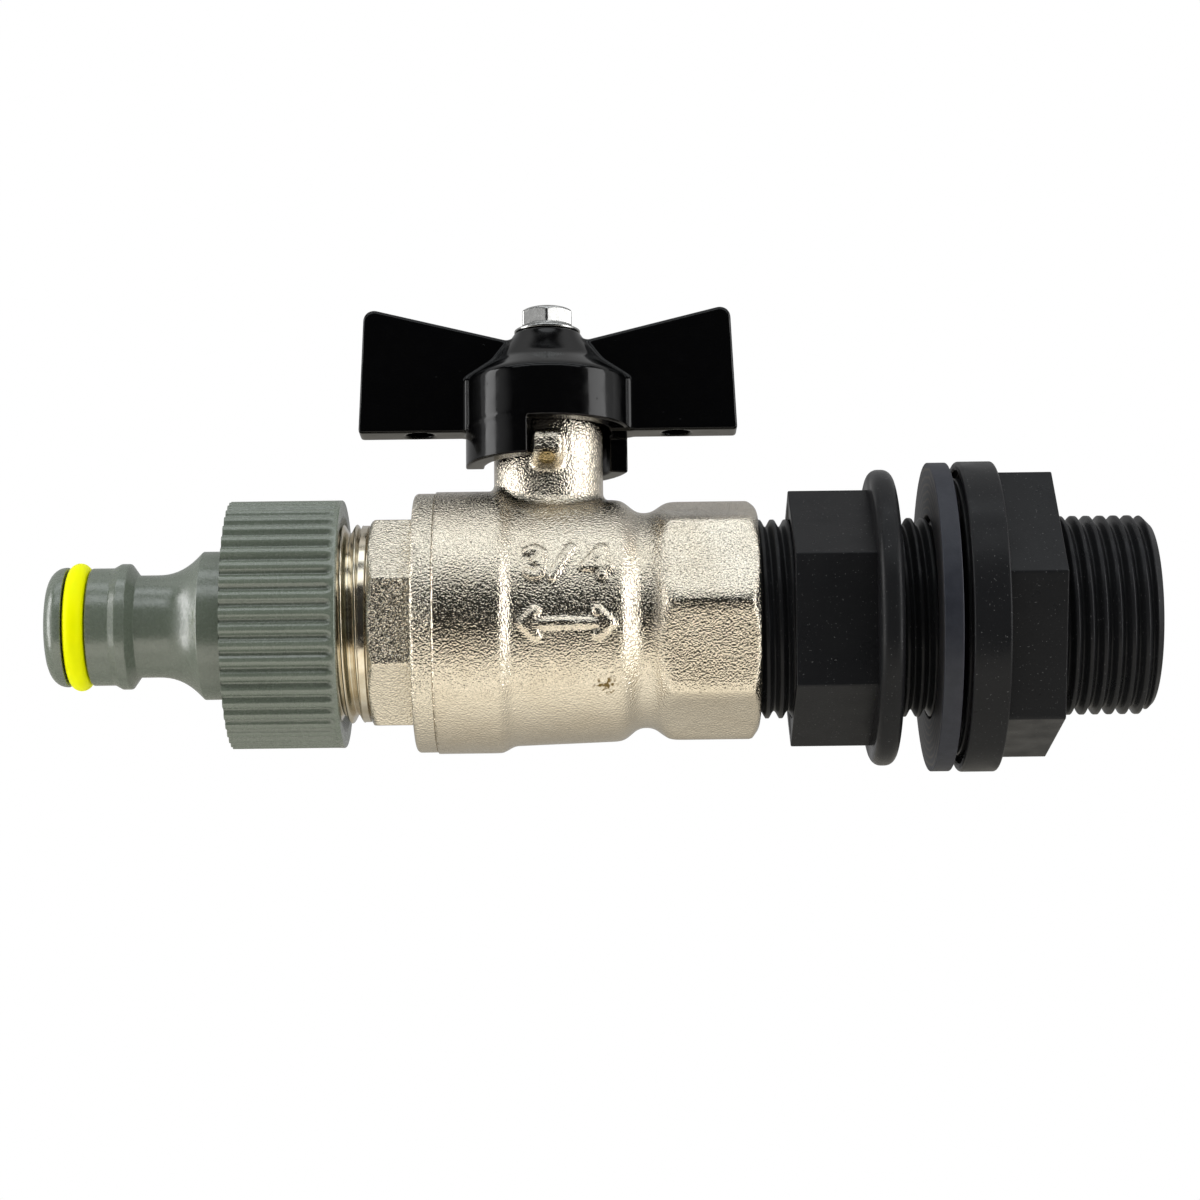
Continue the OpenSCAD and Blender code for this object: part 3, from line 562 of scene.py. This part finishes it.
def black_plastic():
    """Moulded plastic with a fine grain and pale dust on it."""
    n = Nodes("black_plastic", (0.0125, 0.0128, 0.0138), 0.34, specular=0.13)
    dust = n.patches(0.28, 2, 0.68, 0.75)
    n.colour(n.mixed(dust, (0.0105, 0.0108, 0.0118), (0.09, 0.09, 0.09)))
    n.roughness(n.patches(4, 3, 0.3, 0.7, 0.26, 0.42))
    broad = n.bump(n.noise(6, 1), 0.05)
    n.bump(n.noise(0.22, 2), 0.012, after=broad)
    return n.material


def grey_rubber():
    """Sheet rubber whose cut faces show wavy rings."""
    n = Nodes("grey_rubber", (0.024, 0.027, 0.038), 0.5, specular=0.35)
    _, y, z = n.split(n.place)
    radius = n.maths("SQRT", n.maths("ADD", n.maths("MULTIPLY", y, y), n.maths("MULTIPLY", z, z)))
    ring_width, waviness = 0.16, 9.0
    wave = n.maths("MULTIPLY", n.noise(5, 2), waviness)
    phase = n.maths("ADD", n.maths("DIVIDE", radius, ring_width * MM), wave)
    rings = n.ranged(n.maths("SINE", phase), 0.2, 1.0, 0, 1)
    inner = n.ranged(radius, (GASKET_R - 0.25) * MM, (GASKET_R - 0.5) * MM, 0, 1)
    edge = n.mixed(n.patches(1.4, 3, 0.35, 0.7), (0.014, 0.016, 0.024), (0.020, 0.022, 0.031))
    n.colour(n.mixed(n.maths("MULTIPLY", rings, inner), edge, (0.075, 0.065, 0.052)))
    n.bump(n.noise(0.4, 3), 0.02)
    return n.material


def grey_green():
    """Smooth moulded plastic, shiny and a little cloudy."""
    n = Nodes("grey_green_plastic", (0.125, 0.148, 0.115), 0.25, specular=1.0)
    n.colour(n.mixed(n.patches(7, 2, 0.3, 0.7), (0.122, 0.146, 0.112), (0.138, 0.163, 0.126)))
    n.roughness(n.patches(0.6, 3, 0.3, 0.7, 0.18, 0.34))
    broad = n.bump(n.noise(7, 1), 0.05)
    n.bump(n.noise(0.4, 2), 0.018, after=broad)
    return n.material


def lime_rubber():
    n = Nodes("lime_rubber", (0.96, 1.0, 0.0), 0.4, specular=0.05)
    n.colour(n.mixed(n.patches(3, 2, 0.3, 0.7), (0.94, 0.99, 0.0), (0.99, 1.0, 0.0)))
    n.bump(n.noise(0.6, 2), 0.01)
    return n.material


def bright_steel():
    n = Nodes("bright_steel", (0.42, 0.42, 0.41), 0.25, metallic=1.0)
    n.roughness(n.patches(0.8, 3, 0.3, 0.7, 0.18, 0.3))
    n.bump(n.noise(0.8, 2), 0.006)
    return n.material


def plain_metal(name, colour, roughness):
    n = Nodes(name, colour, roughness, metallic=1.0)
    n.roughness(n.patches(1.5, 2, 0.3, 0.7, roughness * 0.8, roughness * 1.3))
    n.bump(n.noise(0.3, 2), 0.004)
    return n.material


def plain_soft(name, colour, roughness):
    n = Nodes(name, colour, roughness)
    n.colour(n.mixed(n.patches(2, 2, 0.3, 0.7), colour, tuple(c * 1.15 for c in colour)))
    n.bump(n.noise(0.4, 2), 0.008)
    return n.material


NICKEL = cast_nickel()
GOLD_NICKEL = machined_nickel()
TURNED = turned_nickel()
COAT = coated_black()
PLASTIC = black_plastic()
RUBBER = grey_rubber()
GREEN = grey_green()
LIME = lime_rubber()
STEEL = bright_steel()


# Pieces


def placed(piece, body, slot, *nodes):
    """The piece rides on its body and stands for its CAD nodes."""
    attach(piece, body)
    if nodes:
        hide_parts(*nodes)


def make_tank_connector():
    """Threaded tube with its flange, and the hexagon beside it."""
    land_r, groove_r, groove_floor = 18.4, 19.5, 1.6
    flange_start, flange_end, hex_end = 0.4, 5.3, 12.8
    hex_apothem = 33.7 / 2
    hex_bore, hex_start = THREAD_R - 0.5, flange_end - 0.5
    left_thread, right_thread = BODY_RIGHT - 2, hex_end - 1
    crest_cut, phase, thread_stop = 0.18, -0.05, -0.05
    outline = rounded([
        (TUBE_LEFT, BORE_R, 0.2), (TUBE_LEFT, THREAD_R - THREAD_CHAMFER, 0.1),
        (TUBE_LEFT + THREAD_CHAMFER, THREAD_R, 0), (left_thread, THREAD_R, 0), (0, THREAD_R, 0.1),
        (0, land_r, 0.3), (groove_floor, land_r, 0.15), (groove_floor, groove_r, 0.15),
        (flange_start, groove_r, 0.25), (flange_start, FLANGE_R, 0.55), (flange_end, FLANGE_R, 0.35),
        (flange_end, THREAD_R, 0.1), (right_thread, THREAD_R, 0), (TUBE_RIGHT - THREAD_CHAMFER, THREAD_R, 0),
        (TUBE_RIGHT, THREAD_R - THREAD_CHAMFER, 0.15), (TUBE_RIGHT, BORE_R, 0.4),
    ])
    outline = finer(outline, [(left_thread, 0), (right_thread, TUBE_RIGHT)], PITCH / 15)

    def threaded(along, radius, angle):
        """Thread where the tube shows. Its crests reach past the tube's radius, which cuts them flat."""
        thread = thread_surface(along, angle, THREAD_R + crest_cut, phase)
        on_tube = (radius > BORE_R + 1) & (radius < THREAD_R + 0.01)
        seen = ((along > left_thread) & (along < thread_stop)) | (along > right_thread)
        return np.where(on_tube & seen, np.minimum(radius, thread), radius)

    tube = turned("tank_connector_tube", outline, PLASTIC, threaded)
    hexagon = prism(
        "tank_connector_hexagon",
        rounded([
            (hex_start, hex_bore, 0), (hex_start, hex_apothem, 0),
            (hex_end, hex_apothem, 0.18), (hex_end, hex_bore, 0),
        ]),
        6, 0.35, 22.5, hex_bore, PLASTIC,
    )
    placed(tube, "valve", "black_plastic", "tank_connector")
    placed(hexagon, "valve", "black_plastic")


def make_lock_nut():
    """Nut whose flange is a rounded rim."""
    apothem = 29.5 / 2
    flange_left = NUT_RIGHT - 3.2
    hex_right = flange_left + 0.8
    rim = turned(
        "lock_nut_flange",
        rounded([
            (flange_left, SOCKET_R, 0.2), (flange_left, NUT_R, 1.5), (NUT_RIGHT, NUT_R, 1.5),
            (NUT_RIGHT, SOCKET_R, 0.3),
        ]),
        PLASTIC,
    )
    hexagon = prism(
        "lock_nut_hexagon",
        rounded([
            (NUT_LEFT, SOCKET_R, 0.2), (NUT_LEFT, apothem, 0.2), (hex_right, apothem, 0),
            (hex_right, SOCKET_R, 0),
        ]),
        6, 0.3, 10, SOCKET_R, PLASTIC,
    )
    placed(joined([rim, hexagon]), "nut", "black_plastic", "lock_nut")


def make_gasket():
    hole_r = THREAD_R + 0.3
    gasket = turned(
        "tank_gasket_ring",
        rounded([
            (GASKET_LEFT, hole_r, 0.15), (GASKET_LEFT, GASKET_R, 0.12),
            (GASKET_RIGHT, GASKET_R, 0.2), (GASKET_RIGHT, hole_r, 0.15),
        ]),
        RUBBER,
    )
    placed(gasket, "gasket", "grey_rubber", "tank_gasket")


def make_valve_body():
    """Forged body, hollowed for what it holds."""
    band_r, waist_r = smooth_profile(BODY_PROFILE, 0.36), smooth_profile(BODY_PROFILE, 0.8)
    left, right = BODY_LEFT - STEM_X, BODY_RIGHT - STEM_X
    sharp_end = 4
    cone_length, cone_slope = 1.3, 1.4
    lug_half, lug_slope = 2, 0.45
    chamber_r, chamber_end = 13.6, 7.6
    cap_bore_r, cap_bore_end = 15.05, -7.5
    seat_pocket_r, seat_pocket_end = 12.65, 9.6
    socket_start = right - 12.4
    stem_bore_r, box_r, box_floor = 4.55, 5.8, 20.6

    def field(x, y, z):
        u = x - STEM_X
        r = np.hypot(y, z)
        barrel = (r - np.where(u < sharp_end, band_r(u), waist_r(u))) * 0.95
        barrel = meet(barrel, left - u, 0.12)
        octagon = polygon_field(y, z, 8, SOCKET_AF, 22.5, 0.7)
        end_cone = (r - SHOULDER_R + np.maximum(u - (right - cone_length), 0) * cone_slope) * 0.6
        socket = meet(meet(barrel, octagon, 0.6), end_cone, 0.35)
        barrel = np.where(u > WAIST_LEFT + 1, socket, barrel)
        barrel = meet(barrel, u - right, 0.35)
        neck = meet(np.hypot(u, y) - NECK_R, between(z, 5, NECK_TOP), 0.4)
        shell = join(barrel, neck, 1.1)
        lug_low = (LUG_FOOT - z - (y + LUG_REACH) * lug_slope) / math.hypot(1, lug_slope)
        lug_sides = meet(np.abs(u) - lug_half, between(y, -LUG_REACH, 0), 0.6)
        lug = meet(lug_sides, meet(z - LUG_TOP, lug_low, 0.5), 1.35)
        shell = join(shell, lug, 0.5)
        about_stem = np.hypot(u, y)
        bores = (
            (r, chamber_r, u, left - 1, chamber_end),
            (r, cap_bore_r, u, left - 1, cap_bore_end),
            (r, seat_pocket_r, u, 0, seat_pocket_end),
            (r, PASSAGE_R, u, 0, right + 1),
            (r, SOCKET_R, u, socket_start, right + 1),
            (about_stem, stem_bore_r, z, 0, NECK_TOP + 1),
            (about_stem, box_r, z, box_floor, NECK_TOP + 1),
        )
        cavity = np.inf
        for out, bore_r, place, start, end in bores:
            cavity = np.minimum(cavity, meet(out - bore_r, between(place, start, end)))
        return meet(shell, -cavity, 0.2)

    low = (BODY_LEFT, -BAND_R, -BAND_R)
    high = (BODY_RIGHT, BAND_R, NECK_TOP)
    body = surface("valve_body_casting", field, low, high, 0.36, NICKEL)
    raise_marks(body)
    placed(body, "valve", "nickel_plated_brass", "valve_body")


def arc(centre, radius, start, end, count=7):
    """Points of an arc in degrees."""
    angles = np.radians(np.linspace(start, end, count))
    return [(centre[0] + radius * math.cos(a), centre[1] + radius * math.sin(a)) for a in angles]


def marks():
    """Strokes of the raised marks: the pipe size and an arrow with two heads.

    Their points are millimetres along the pipe and round the barrel.
    """
    middle, low = 5.3, -2.9
    three = arc((-4.3, middle + 0.95), 0.95, 150, -80) + arc((-4.3, middle - 0.95), 1.05, 80, -150)
    slash = [(-2.0, middle - 2.1), (0.4, middle + 2.1)]
    four = [(4.4, middle - 2.0), (4.4, middle + 2.0), (2.1, middle - 0.8), (5.3, middle - 0.8)]
    shaft = [(-5.8, low), (5.4, low)]
    centre, tip, barb, spread = -0.2, 5.6, 4.0, 1.5
    heads = [
        [(side * reach + centre, low + rise) for reach, rise in ((barb, spread), (tip, 0), (barb, -spread))]
        for side in (-1, 1)
    ]
    return [three, slash, four, shaft, *heads]


def raise_marks(body):
    """Lifts the casting's surface under the marks on the front of the chamber."""
    half_width, height, soft = 0.42, 0.45, 0.34
    middle, least_r = STEM_X + 2.6, 15.4
    count = len(body.data.vertices)
    points = np.empty(count * 3, np.float32)
    body.data.vertices.foreach_get("co", points)
    points = points.reshape(-1, 3) / MM
    radius = np.hypot(points[:, 1], points[:, 2])
    along = points[:, 0] - middle
    round_it = np.arctan2(points[:, 2], -points[:, 1]) * radius
    near = np.full(count, 9.0)
    for stroke in marks():
        for (ax, ay), (bx, by) in zip(stroke, stroke[1:]):
            dx, dy = bx - ax, by - ay
            t = np.clip(((along - ax) * dx + (round_it - ay) * dy) / (dx * dx + dy * dy), 0, 1)
            near = np.minimum(near, np.hypot(along - ax - t * dx, round_it - ay - t * dy))
    away = np.clip((near - half_width) / soft, 0, 1)
    lift = height * (1 - away**2 * (3 - 2 * away))
    lift *= (radius > least_r) & (points[:, 1] < 0)
    points[:, 1:] *= (1 + lift / radius)[:, None]
    body.data.vertices.foreach_set("co", (points * MM).astype(np.float32).ravel())
    body.data.update()


def make_end_cap():
    """End of the valve in three pieces: octagon, flange with the plug inside the body, and outlet thread."""
    face = BODY_LEFT
    octagon_left, octagon_right = face - 8.55, face - 2.8
    octagon_end, octagon_apothem, octagon_bore = octagon_right + 0.5, 13.5, 11.5
    chamfer_r, chamfer_slope = 13.4, 1.6
    flange_face, flange_r = face - 0.02, CAP_R - 0.1
    plug_end, plug_r, plug_bore = face + 8, 15, PASSAGE_R + 0.1
    land_left, land_right, land_r = octagon_left - 1.15, octagon_left - 0.3, 13.05
    tube_end, tube_r = octagon_left + 1, 12.3
    phase = 0.27
    octagon = prism(
        "end_cap_octagon",
        finer(
            rounded([
                (octagon_left, octagon_bore, 0), (octagon_left, octagon_apothem, 0.2),
                (octagon_end, octagon_apothem, 0), (octagon_end, octagon_bore, 0),
            ]),
            [(octagon_left, octagon_end)], 0.15,
        ),
        8, 0.5, 8, octagon_bore, TURNED, chamfer=(octagon_left, chamfer_r, chamfer_slope),
    )
    flange = turned(
        "end_cap_flange",
        rounded([
            (octagon_right, plug_bore, 0), (octagon_right, flange_r, 0.6), (flange_face, flange_r, 0.06),
            (flange_face, plug_r, 0), (plug_end, plug_r, 0), (plug_end, plug_bore, 0),
        ]),
        TURNED,
    )
    outline = finer(
        rounded([
            (OUTLET_END, PASSAGE_R, 0.2), (OUTLET_END, THREAD_R - THREAD_CHAMFER, 0.1),
            (OUTLET_END + THREAD_CHAMFER, THREAD_R, 0), (land_left - 0.1, THREAD_R, 0),
            (land_left, land_r, 0.05), (land_right, land_r, 0.1), (land_right + 0.05, tube_r, 0.1),
            (tube_end, tube_r, 0), (tube_end, PASSAGE_R, 0),
        ]),
        [(OUTLET_END, land_left)], PITCH / 20,
    )

    def threaded(along, radius, angle):
        thread = thread_surface(along, angle, THREAD_R, phase)
        return np.where((radius > 11) & (along < land_left - 0.05), np.minimum(radius, thread), radius)

    thread = turned("outlet_thread", outline, GOLD_NICKEL, threaded)
    placed(octagon, "valve", "nickel_plated_brass")
    placed(flange, "valve", "nickel_plated_brass", "end_cap")
    placed(thread, "valve", "nickel_plated_brass")


def make_handle():
    """Butterfly handle: two wings on a hollow hub, with a skirt that stops against the lug."""
    hub_bottom, hub_top = 25.7, 39.4
    hub_profile = [(20, 11.1), (32.7, 11.1), (35.2, 7.4), (38.6, 4.9), (hub_top, 4.4), (44, 0.5)]
    hub_r = smooth_profile(hub_profile, 0.32)
    wing_bottom, wing_half, wing_inset = 25.5, 2.3, 0.7
    slope = math.tan(math.radians(13.8))
    lean = wing_inset / (WING_TOP - wing_bottom)
    skirt_r, skirt_bottom, hollow_r, hollow_top = 11.05, SKIRT_BOTTOM + 0.3, 8.5, 30.15
    stem_hole_r, stem_flat = 3.55, 2.55
    cored_place, cored_r, cored_depth = 17.2, 1.85, 8

    # Start and end of each gap in the skirt, in degrees from the pipe's axis
    gaps = [(-104.0, 14.0), (76.0, 180.0)]

    def field(x, y, z):
        u = x - STEM_X
        r = np.hypot(u, y)
        hub = meet((r - hub_r(z)) * 0.8, between(z, hub_bottom, hub_top), 0.25)
        side = np.abs(u)
        top = (z - WING_TOP + (WING_REACH - wing_inset - side) * slope) / math.hypot(1, slope)
        outer = (side - WING_REACH + (z - wing_bottom) * lean) / math.hypot(1, lean)
        outline = meet(meet(top, outer, 1.8), wing_bottom - z, 0.5)
        wings = meet(outline, np.abs(y) - wing_half, 0.4)
        solid = join(hub, wings, 0.7)
        angle = np.degrees(np.arctan2(y, u))
        cut = np.full(np.shape(angle), -9.0)
        for start, end in gaps:
            off = np.abs((angle - (start + end) / 2 + 180) % 360 - 180)
            cut = np.maximum(cut, r * np.radians((end - start) / 2 - off))
        skirt_height = meet(between(z, skirt_bottom, hub_bottom + 0.6), cut, 0.2)
        skirt = meet(meet(r - skirt_r, hollow_r - r, 0.2), skirt_height, 0.25)
        solid = join(solid, skirt, 0.25)
        hollow = meet(r - hollow_r, z - hollow_top)
        bores = np.minimum(hollow, meet(r - stem_hole_r, side - stem_flat))
        cored = meet(np.hypot(side - cored_place, y) - cored_r, z - wing_bottom - cored_depth)
        bores = np.minimum(bores, cored)
        return meet(solid, -bores, 0.25)

    low = (STEM_X - WING_REACH, -11, SKIRT_BOTTOM)
    high = (STEM_X + WING_REACH, 11, WING_TOP)
    handle = surface("butterfly_handle", field, low, high, 0.25, COAT)
    placed(handle, "handle", "black_coated_metal", "handle")


def make_screw():
    """Flange head screw whose hexagon has a turned crown."""
    foot, flange_top, across = SCREW_TOP - 3.38, SCREW_TOP - 2.5, 6.6
    crown_r, crown_slope = 2.85, 1.7
    flange_r, flange_edge, flange_slope = 4.45, 0.35, 1.9
    shank_r, shank_foot = 1.9, foot - 8.6

    def field(x, y, z):
        u = x - STEM_X
        r = np.hypot(u, y)
        hexagon = meet(polygon_field(u, y, 6, across, 0, 0.3), between(z, foot, SCREW_TOP), 0.15)
        crown = (r - crown_r - (SCREW_TOP - z) * crown_slope) * 0.5
        flange_cone = r - flange_r + np.maximum(z - foot - flange_edge, 0) * flange_slope
        flange = meet(flange_cone, between(z, foot, flange_top + 0.1), 0.12) * 0.6
        shank = meet(r - shank_r, between(z, shank_foot, foot + 0.5))
        return join(join(meet(hexagon, crown, 0.2), flange, 0.15), shank)

    reach = 4.5
    low = (STEM_X - reach, -reach, shank_foot)
    high = (STEM_X + reach, reach, SCREW_TOP)
    screw = surface("handle_screw_head", field, low, high, 0.14, STEEL)
    placed(screw, "handle", "bright_steel", "handle_screw")


def make_hose_connector():
    """Ribbed collar and spigot in one moulding."""
    left = COLLAR_RIGHT - COLLAR_LEN
    rim = COLLAR_RIGHT + 0.3
    valley_end = rim - 0.5
    seat, seat_bore, mouth_r = OUTLET_END - 3.05, 7.6, 14.4
    spigot_bore = 4.4
    neck_r, ridge_r, barrel_r, head_r, groove_r = 6.8, 8.35, 7.8, 7.95, 5.65
    root, chamfer, flare = left - 3.7, 0.6, 5.6
    rise = ROOT_R - chamfer - neck_r
    shares = np.array([0, 0.12, 0.25, 0.37, 0.49, 0.6, 0.7, 0.79, 0.87, 0.94])
    curve = [(root - chamfer - flare * (1 - t), neck_r + rise * t**2.3, 0) for t in shares]
    nose_len, nose_drop = 2.3, 2.8
    nose_angles = np.radians(np.arange(0, 91, 10))
    nose = [
        (TIP + nose_len * (1 - math.cos(a)), head_r - nose_drop * (1 - math.sin(a)), 0) for a in nose_angles
    ]
    groove_left, groove_right = TIP + 2.6, TIP + 5.7
    outline = [
        (TIP, spigot_bore, 0.5), *nose, (groove_left, head_r, 0.15), (groove_left, groove_r, 0.2),
        (groove_right, groove_r, 0.2), (groove_right, barrel_r, 0.25), (TIP + 8.7, barrel_r, 0.4),
        (TIP + 9.7, ridge_r, 0.4), (TIP + 10.9, ridge_r, 0.35), (TIP + 12.0, neck_r, 0.3),
        *curve, (root - chamfer, ROOT_R - chamfer, 0.15), (root, ROOT_R, 0.2),
        (left, ROOT_R, 0.2), (left, COLLAR_R, 0), (valley_end, COLLAR_R, 0),
        (rim, COLLAR_R, 0.75), (rim, mouth_r, 0.3), (rim - 1.1, SOCKET_R, 0.1), (seat, SOCKET_R, 0.2),
        (seat, seat_bore, 0.3), (root - 5.4, spigot_bore, 1),
    ]
    outline = finer(rounded(outline), [(left - 0.01, valley_end + 0.1)], 0.45)

    rib_share, run_length = 0.76, 1.1

    def ribbed(along, radius, angle):
        """Valleys between the ribs, which run out towards the rim."""
        wave = np.abs((angle / (2 * math.pi) * RIBS) % 1 - 0.5) * 2
        rib = np.maximum(1 - (wave / rib_share) ** 2.1, 0) ** 0.55
        run = np.clip((valley_end - along) / run_length, 0, 1)
        depth = (COLLAR_R - COLLAR_CORE_R) * np.sqrt(1 - (1 - run) ** 2) * (1 - rib)
        cut = (radius > COLLAR_R - 0.3) & (along < valley_end)
        return np.where(cut, radius - depth, radius)

    connector = turned("hose_connector_moulding", outline, GREEN, ribbed, around=RIBS * 9)
    placed(connector, "connector", "grey_green_plastic", "hose_connector")


def make_spigot_ring():
    middle = (RING_LEFT + RING_RIGHT) / 2
    thick = (RING_RIGHT - RING_LEFT) / 2
    angles = np.radians(np.arange(0, 360, 12))
    outline = np.column_stack([middle + thick * np.cos(angles), RING_R - thick + thick * np.sin(angles)])
    ring = turned("spigot_lime_ring", outline, LIME)
    placed(ring, "connector", "lime_rubber", "spigot_o_ring")


make_tank_connector()
make_lock_nut()
make_gasket()
make_valve_body()
make_end_cap()
make_handle()
make_screw()
make_hose_connector()
make_spigot_ring()

# Hidden pieces keep their CAD shape
black_rubber = plain_soft("black_rubber", (0.012, 0.012, 0.012), 0.5)
white_seal = plain_soft("white_seal", (0.78, 0.77, 0.73), 0.4)
HIDDEN = {
    "cap_o_ring": black_rubber,
    "stem_o_ring": black_rubber,
    "connector_washer": black_rubber,
    "inlet_seat": white_seal,
    "outlet_seat": white_seal,
    "thrust_washer": white_seal,
    "stem_packing": white_seal,
    "ball": plain_metal("chromed_ball", (0.72, 0.73, 0.74), 0.1),
    "stem": plain_metal("plain_brass", (0.72, 0.56, 0.28), 0.24),
    "gland_nut": plain_metal("gland_brass", (0.74, 0.58, 0.29), 0.28),
}
for name, material in HIDDEN.items():
    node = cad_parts[name]
    node.data.materials.clear()
    node.data.materials.append(material)


# Studio, in metres

FLOOR_Z = -0.5
FLOOR_FRONT = -0.62
FLOOR_SIZE = 12

# Share of the floor's look that is glow, and between which places its glow fades in reflections
FLOOR_GLOW = 0.93
FLOOR_FADE = (0.0, 0.36)

# Light of the world on the object
AMBIENT = 0.4

# Levels of the world in reflections. In front it is dark up to the first share of x in the direction,
# and as bright as the sides from the second.
DARK_LEVEL = 0.028
DARK_EDGE = (0.72, 0.93)
SIDE_LEVEL = 1.0
BACK_LEVEL = 0.45
CENTRE = (-0.047, 0, 0.01)
WHITE, COOL, WARM = (1, 1, 1), (0.94, 0.975, 1), (1, 0.95, 0.86)
MIRRORED_FLOOR = (1, 0.955, 0.85)


def make_floor():
    """Pale sheet that looks white to the camera, shows in reflections and takes the object's shadow."""
    n = Nodes("floor_white", (0.9, 0.89, 0.86), 0.9)
    path = n.tree.nodes.new("ShaderNodeLightPath").outputs
    _, along, _ = n.split(n.place)
    mirrored = n.ranged(along, *FLOOR_FADE, 1.0, BACK_LEVEL, smooth=True)
    glow = n.tree.nodes.new("ShaderNodeEmission")
    n.link(n.either(path["Is Camera Ray"], mirrored), glow.inputs["Strength"])
    n.link(n.mixed(path["Is Camera Ray"], MIRRORED_FLOOR, WHITE), glow.inputs["Color"])
    direct = n.either(path["Is Camera Ray"], path["Is Glossy Ray"], path["Is Transmission Ray"])
    share = n.maths("MULTIPLY", direct, FLOOR_GLOW)
    seen = n.blend(share, n.shader.outputs["BSDF"], glow.outputs["Emission"])
    n.link(seen, n.tree.nodes["Material Output"].inputs["Surface"])
    mesh = bpy.data.meshes.new("floor")
    corners = [
        (-FLOOR_SIZE, FLOOR_FRONT), (FLOOR_SIZE, FLOOR_FRONT),
        (FLOOR_SIZE, FLOOR_SIZE), (-FLOOR_SIZE, FLOOR_SIZE),
    ]
    mesh.from_pydata([(x, y, FLOOR_Z) for x, y in corners], [], [(0, 1, 2, 3)])
    mesh.materials.append(n.material)
    sheet = bpy.data.objects.new("floor", mesh)
    bpy.context.scene.collection.objects.link(sheet)


def area_light(name, place, width, height, power, colour=WHITE):
    """Rectangular lamp that faces the middle of the object."""
    data = bpy.data.lights.new(name, "AREA")
    data.shape = "RECTANGLE"
    data.size, data.size_y = width, height
    data.energy = power
    data.color = colour
    lamp = bpy.data.objects.new(name, data)
    bpy.context.scene.collection.objects.link(lamp)
    lamp.location = place
    lamp.rotation_euler = (Vector(CENTRE) - Vector(place)).to_track_quat("-Z", "Y").to_euler()


def make_world():
    """White room that lights the object only dimly. Reflections show it dark on the photographer's side."""
    world = bpy.data.worlds.new("studio")
    bpy.context.scene.world = world
    world.use_nodes = True
    n = Tree(world.node_tree)

    def background(level):
        node = n.tree.nodes.new("ShaderNodeBackground")
        node.inputs["Color"].default_value = (1, 1, 1, 1)
        n.fill([node.inputs["Strength"]], [level])
        return node.outputs["Background"]

    x, y, _ = n.split(n.output("ShaderNodeTexCoord", "Generated"))
    front = n.ranged(n.maths("ABSOLUTE", x), *DARK_EDGE, DARK_LEVEL, SIDE_LEVEL, smooth=True)
    behind = n.ranged(y, 0.0, 0.15, 0.0, 1.0, smooth=True)
    back = n.ranged(y, 0.0, 0.5, 1.0, BACK_LEVEL, smooth=True)
    mirrored = n.maths("MINIMUM", n.either(front, behind), back)
    path = n.tree.nodes.new("ShaderNodeLightPath").outputs
    reflected = n.either(path["Is Glossy Ray"], path["Is Transmission Ray"])
    seen = n.blend(reflected, background(AMBIENT), background(mirrored))
    seen = n.blend(path["Is Camera Ray"], seen, background(1.0))
    n.link(seen, n.tree.nodes["World Output"].inputs["Surface"])


make_world()
make_floor()
area_light("front_softbox", (CENTRE[0], -0.65, 0.72), width=1.6, height=0.3, power=3.3, colour=COOL)
area_light("top_softbox", (CENTRE[0], -0.22, 0.94), width=1.6, height=0.3, power=3.3, colour=COOL)
area_light("left_softbox", (-0.9, -0.06, 0.1), width=0.3, height=0.9, power=4.2)
area_light("right_softbox", (0.79, -0.25, 0.1), width=0.45, height=0.9, power=5.2)
area_light("under_light", (CENTRE[0], -0.28, -0.45), width=1.0, height=0.4, power=0.6, colour=WARM)


def make_camera():
    """Camera of the photo: 0.4 m away, 10 degrees below the pipe, with a slight roll."""
    distance, below, roll = 0.4, math.radians(10), math.radians(0.7)
    middle_x, rise = -0.0468, 0.0028
    look = Vector((0, math.cos(below), math.sin(below)))
    up = Vector((0, -math.sin(below), math.cos(below)))
    target = Vector((middle_x, 0, 0)) + rise * up
    data = bpy.data.cameras.new("photo_camera")
    data.lens, data.sensor_width = 90.24, 36
    camera = bpy.data.objects.new("photo_camera", data)
    bpy.context.scene.collection.objects.link(camera)
    upright = look.to_track_quat("-Z", "Y").to_matrix()
    camera.rotation_euler = (upright @ Matrix.Rotation(-roll, 3, "Z")).to_euler()
    camera.location = target - look * distance
    bpy.context.scene.camera = camera


make_camera()
bpy.context.scene.view_settings.view_transform = "Standard"
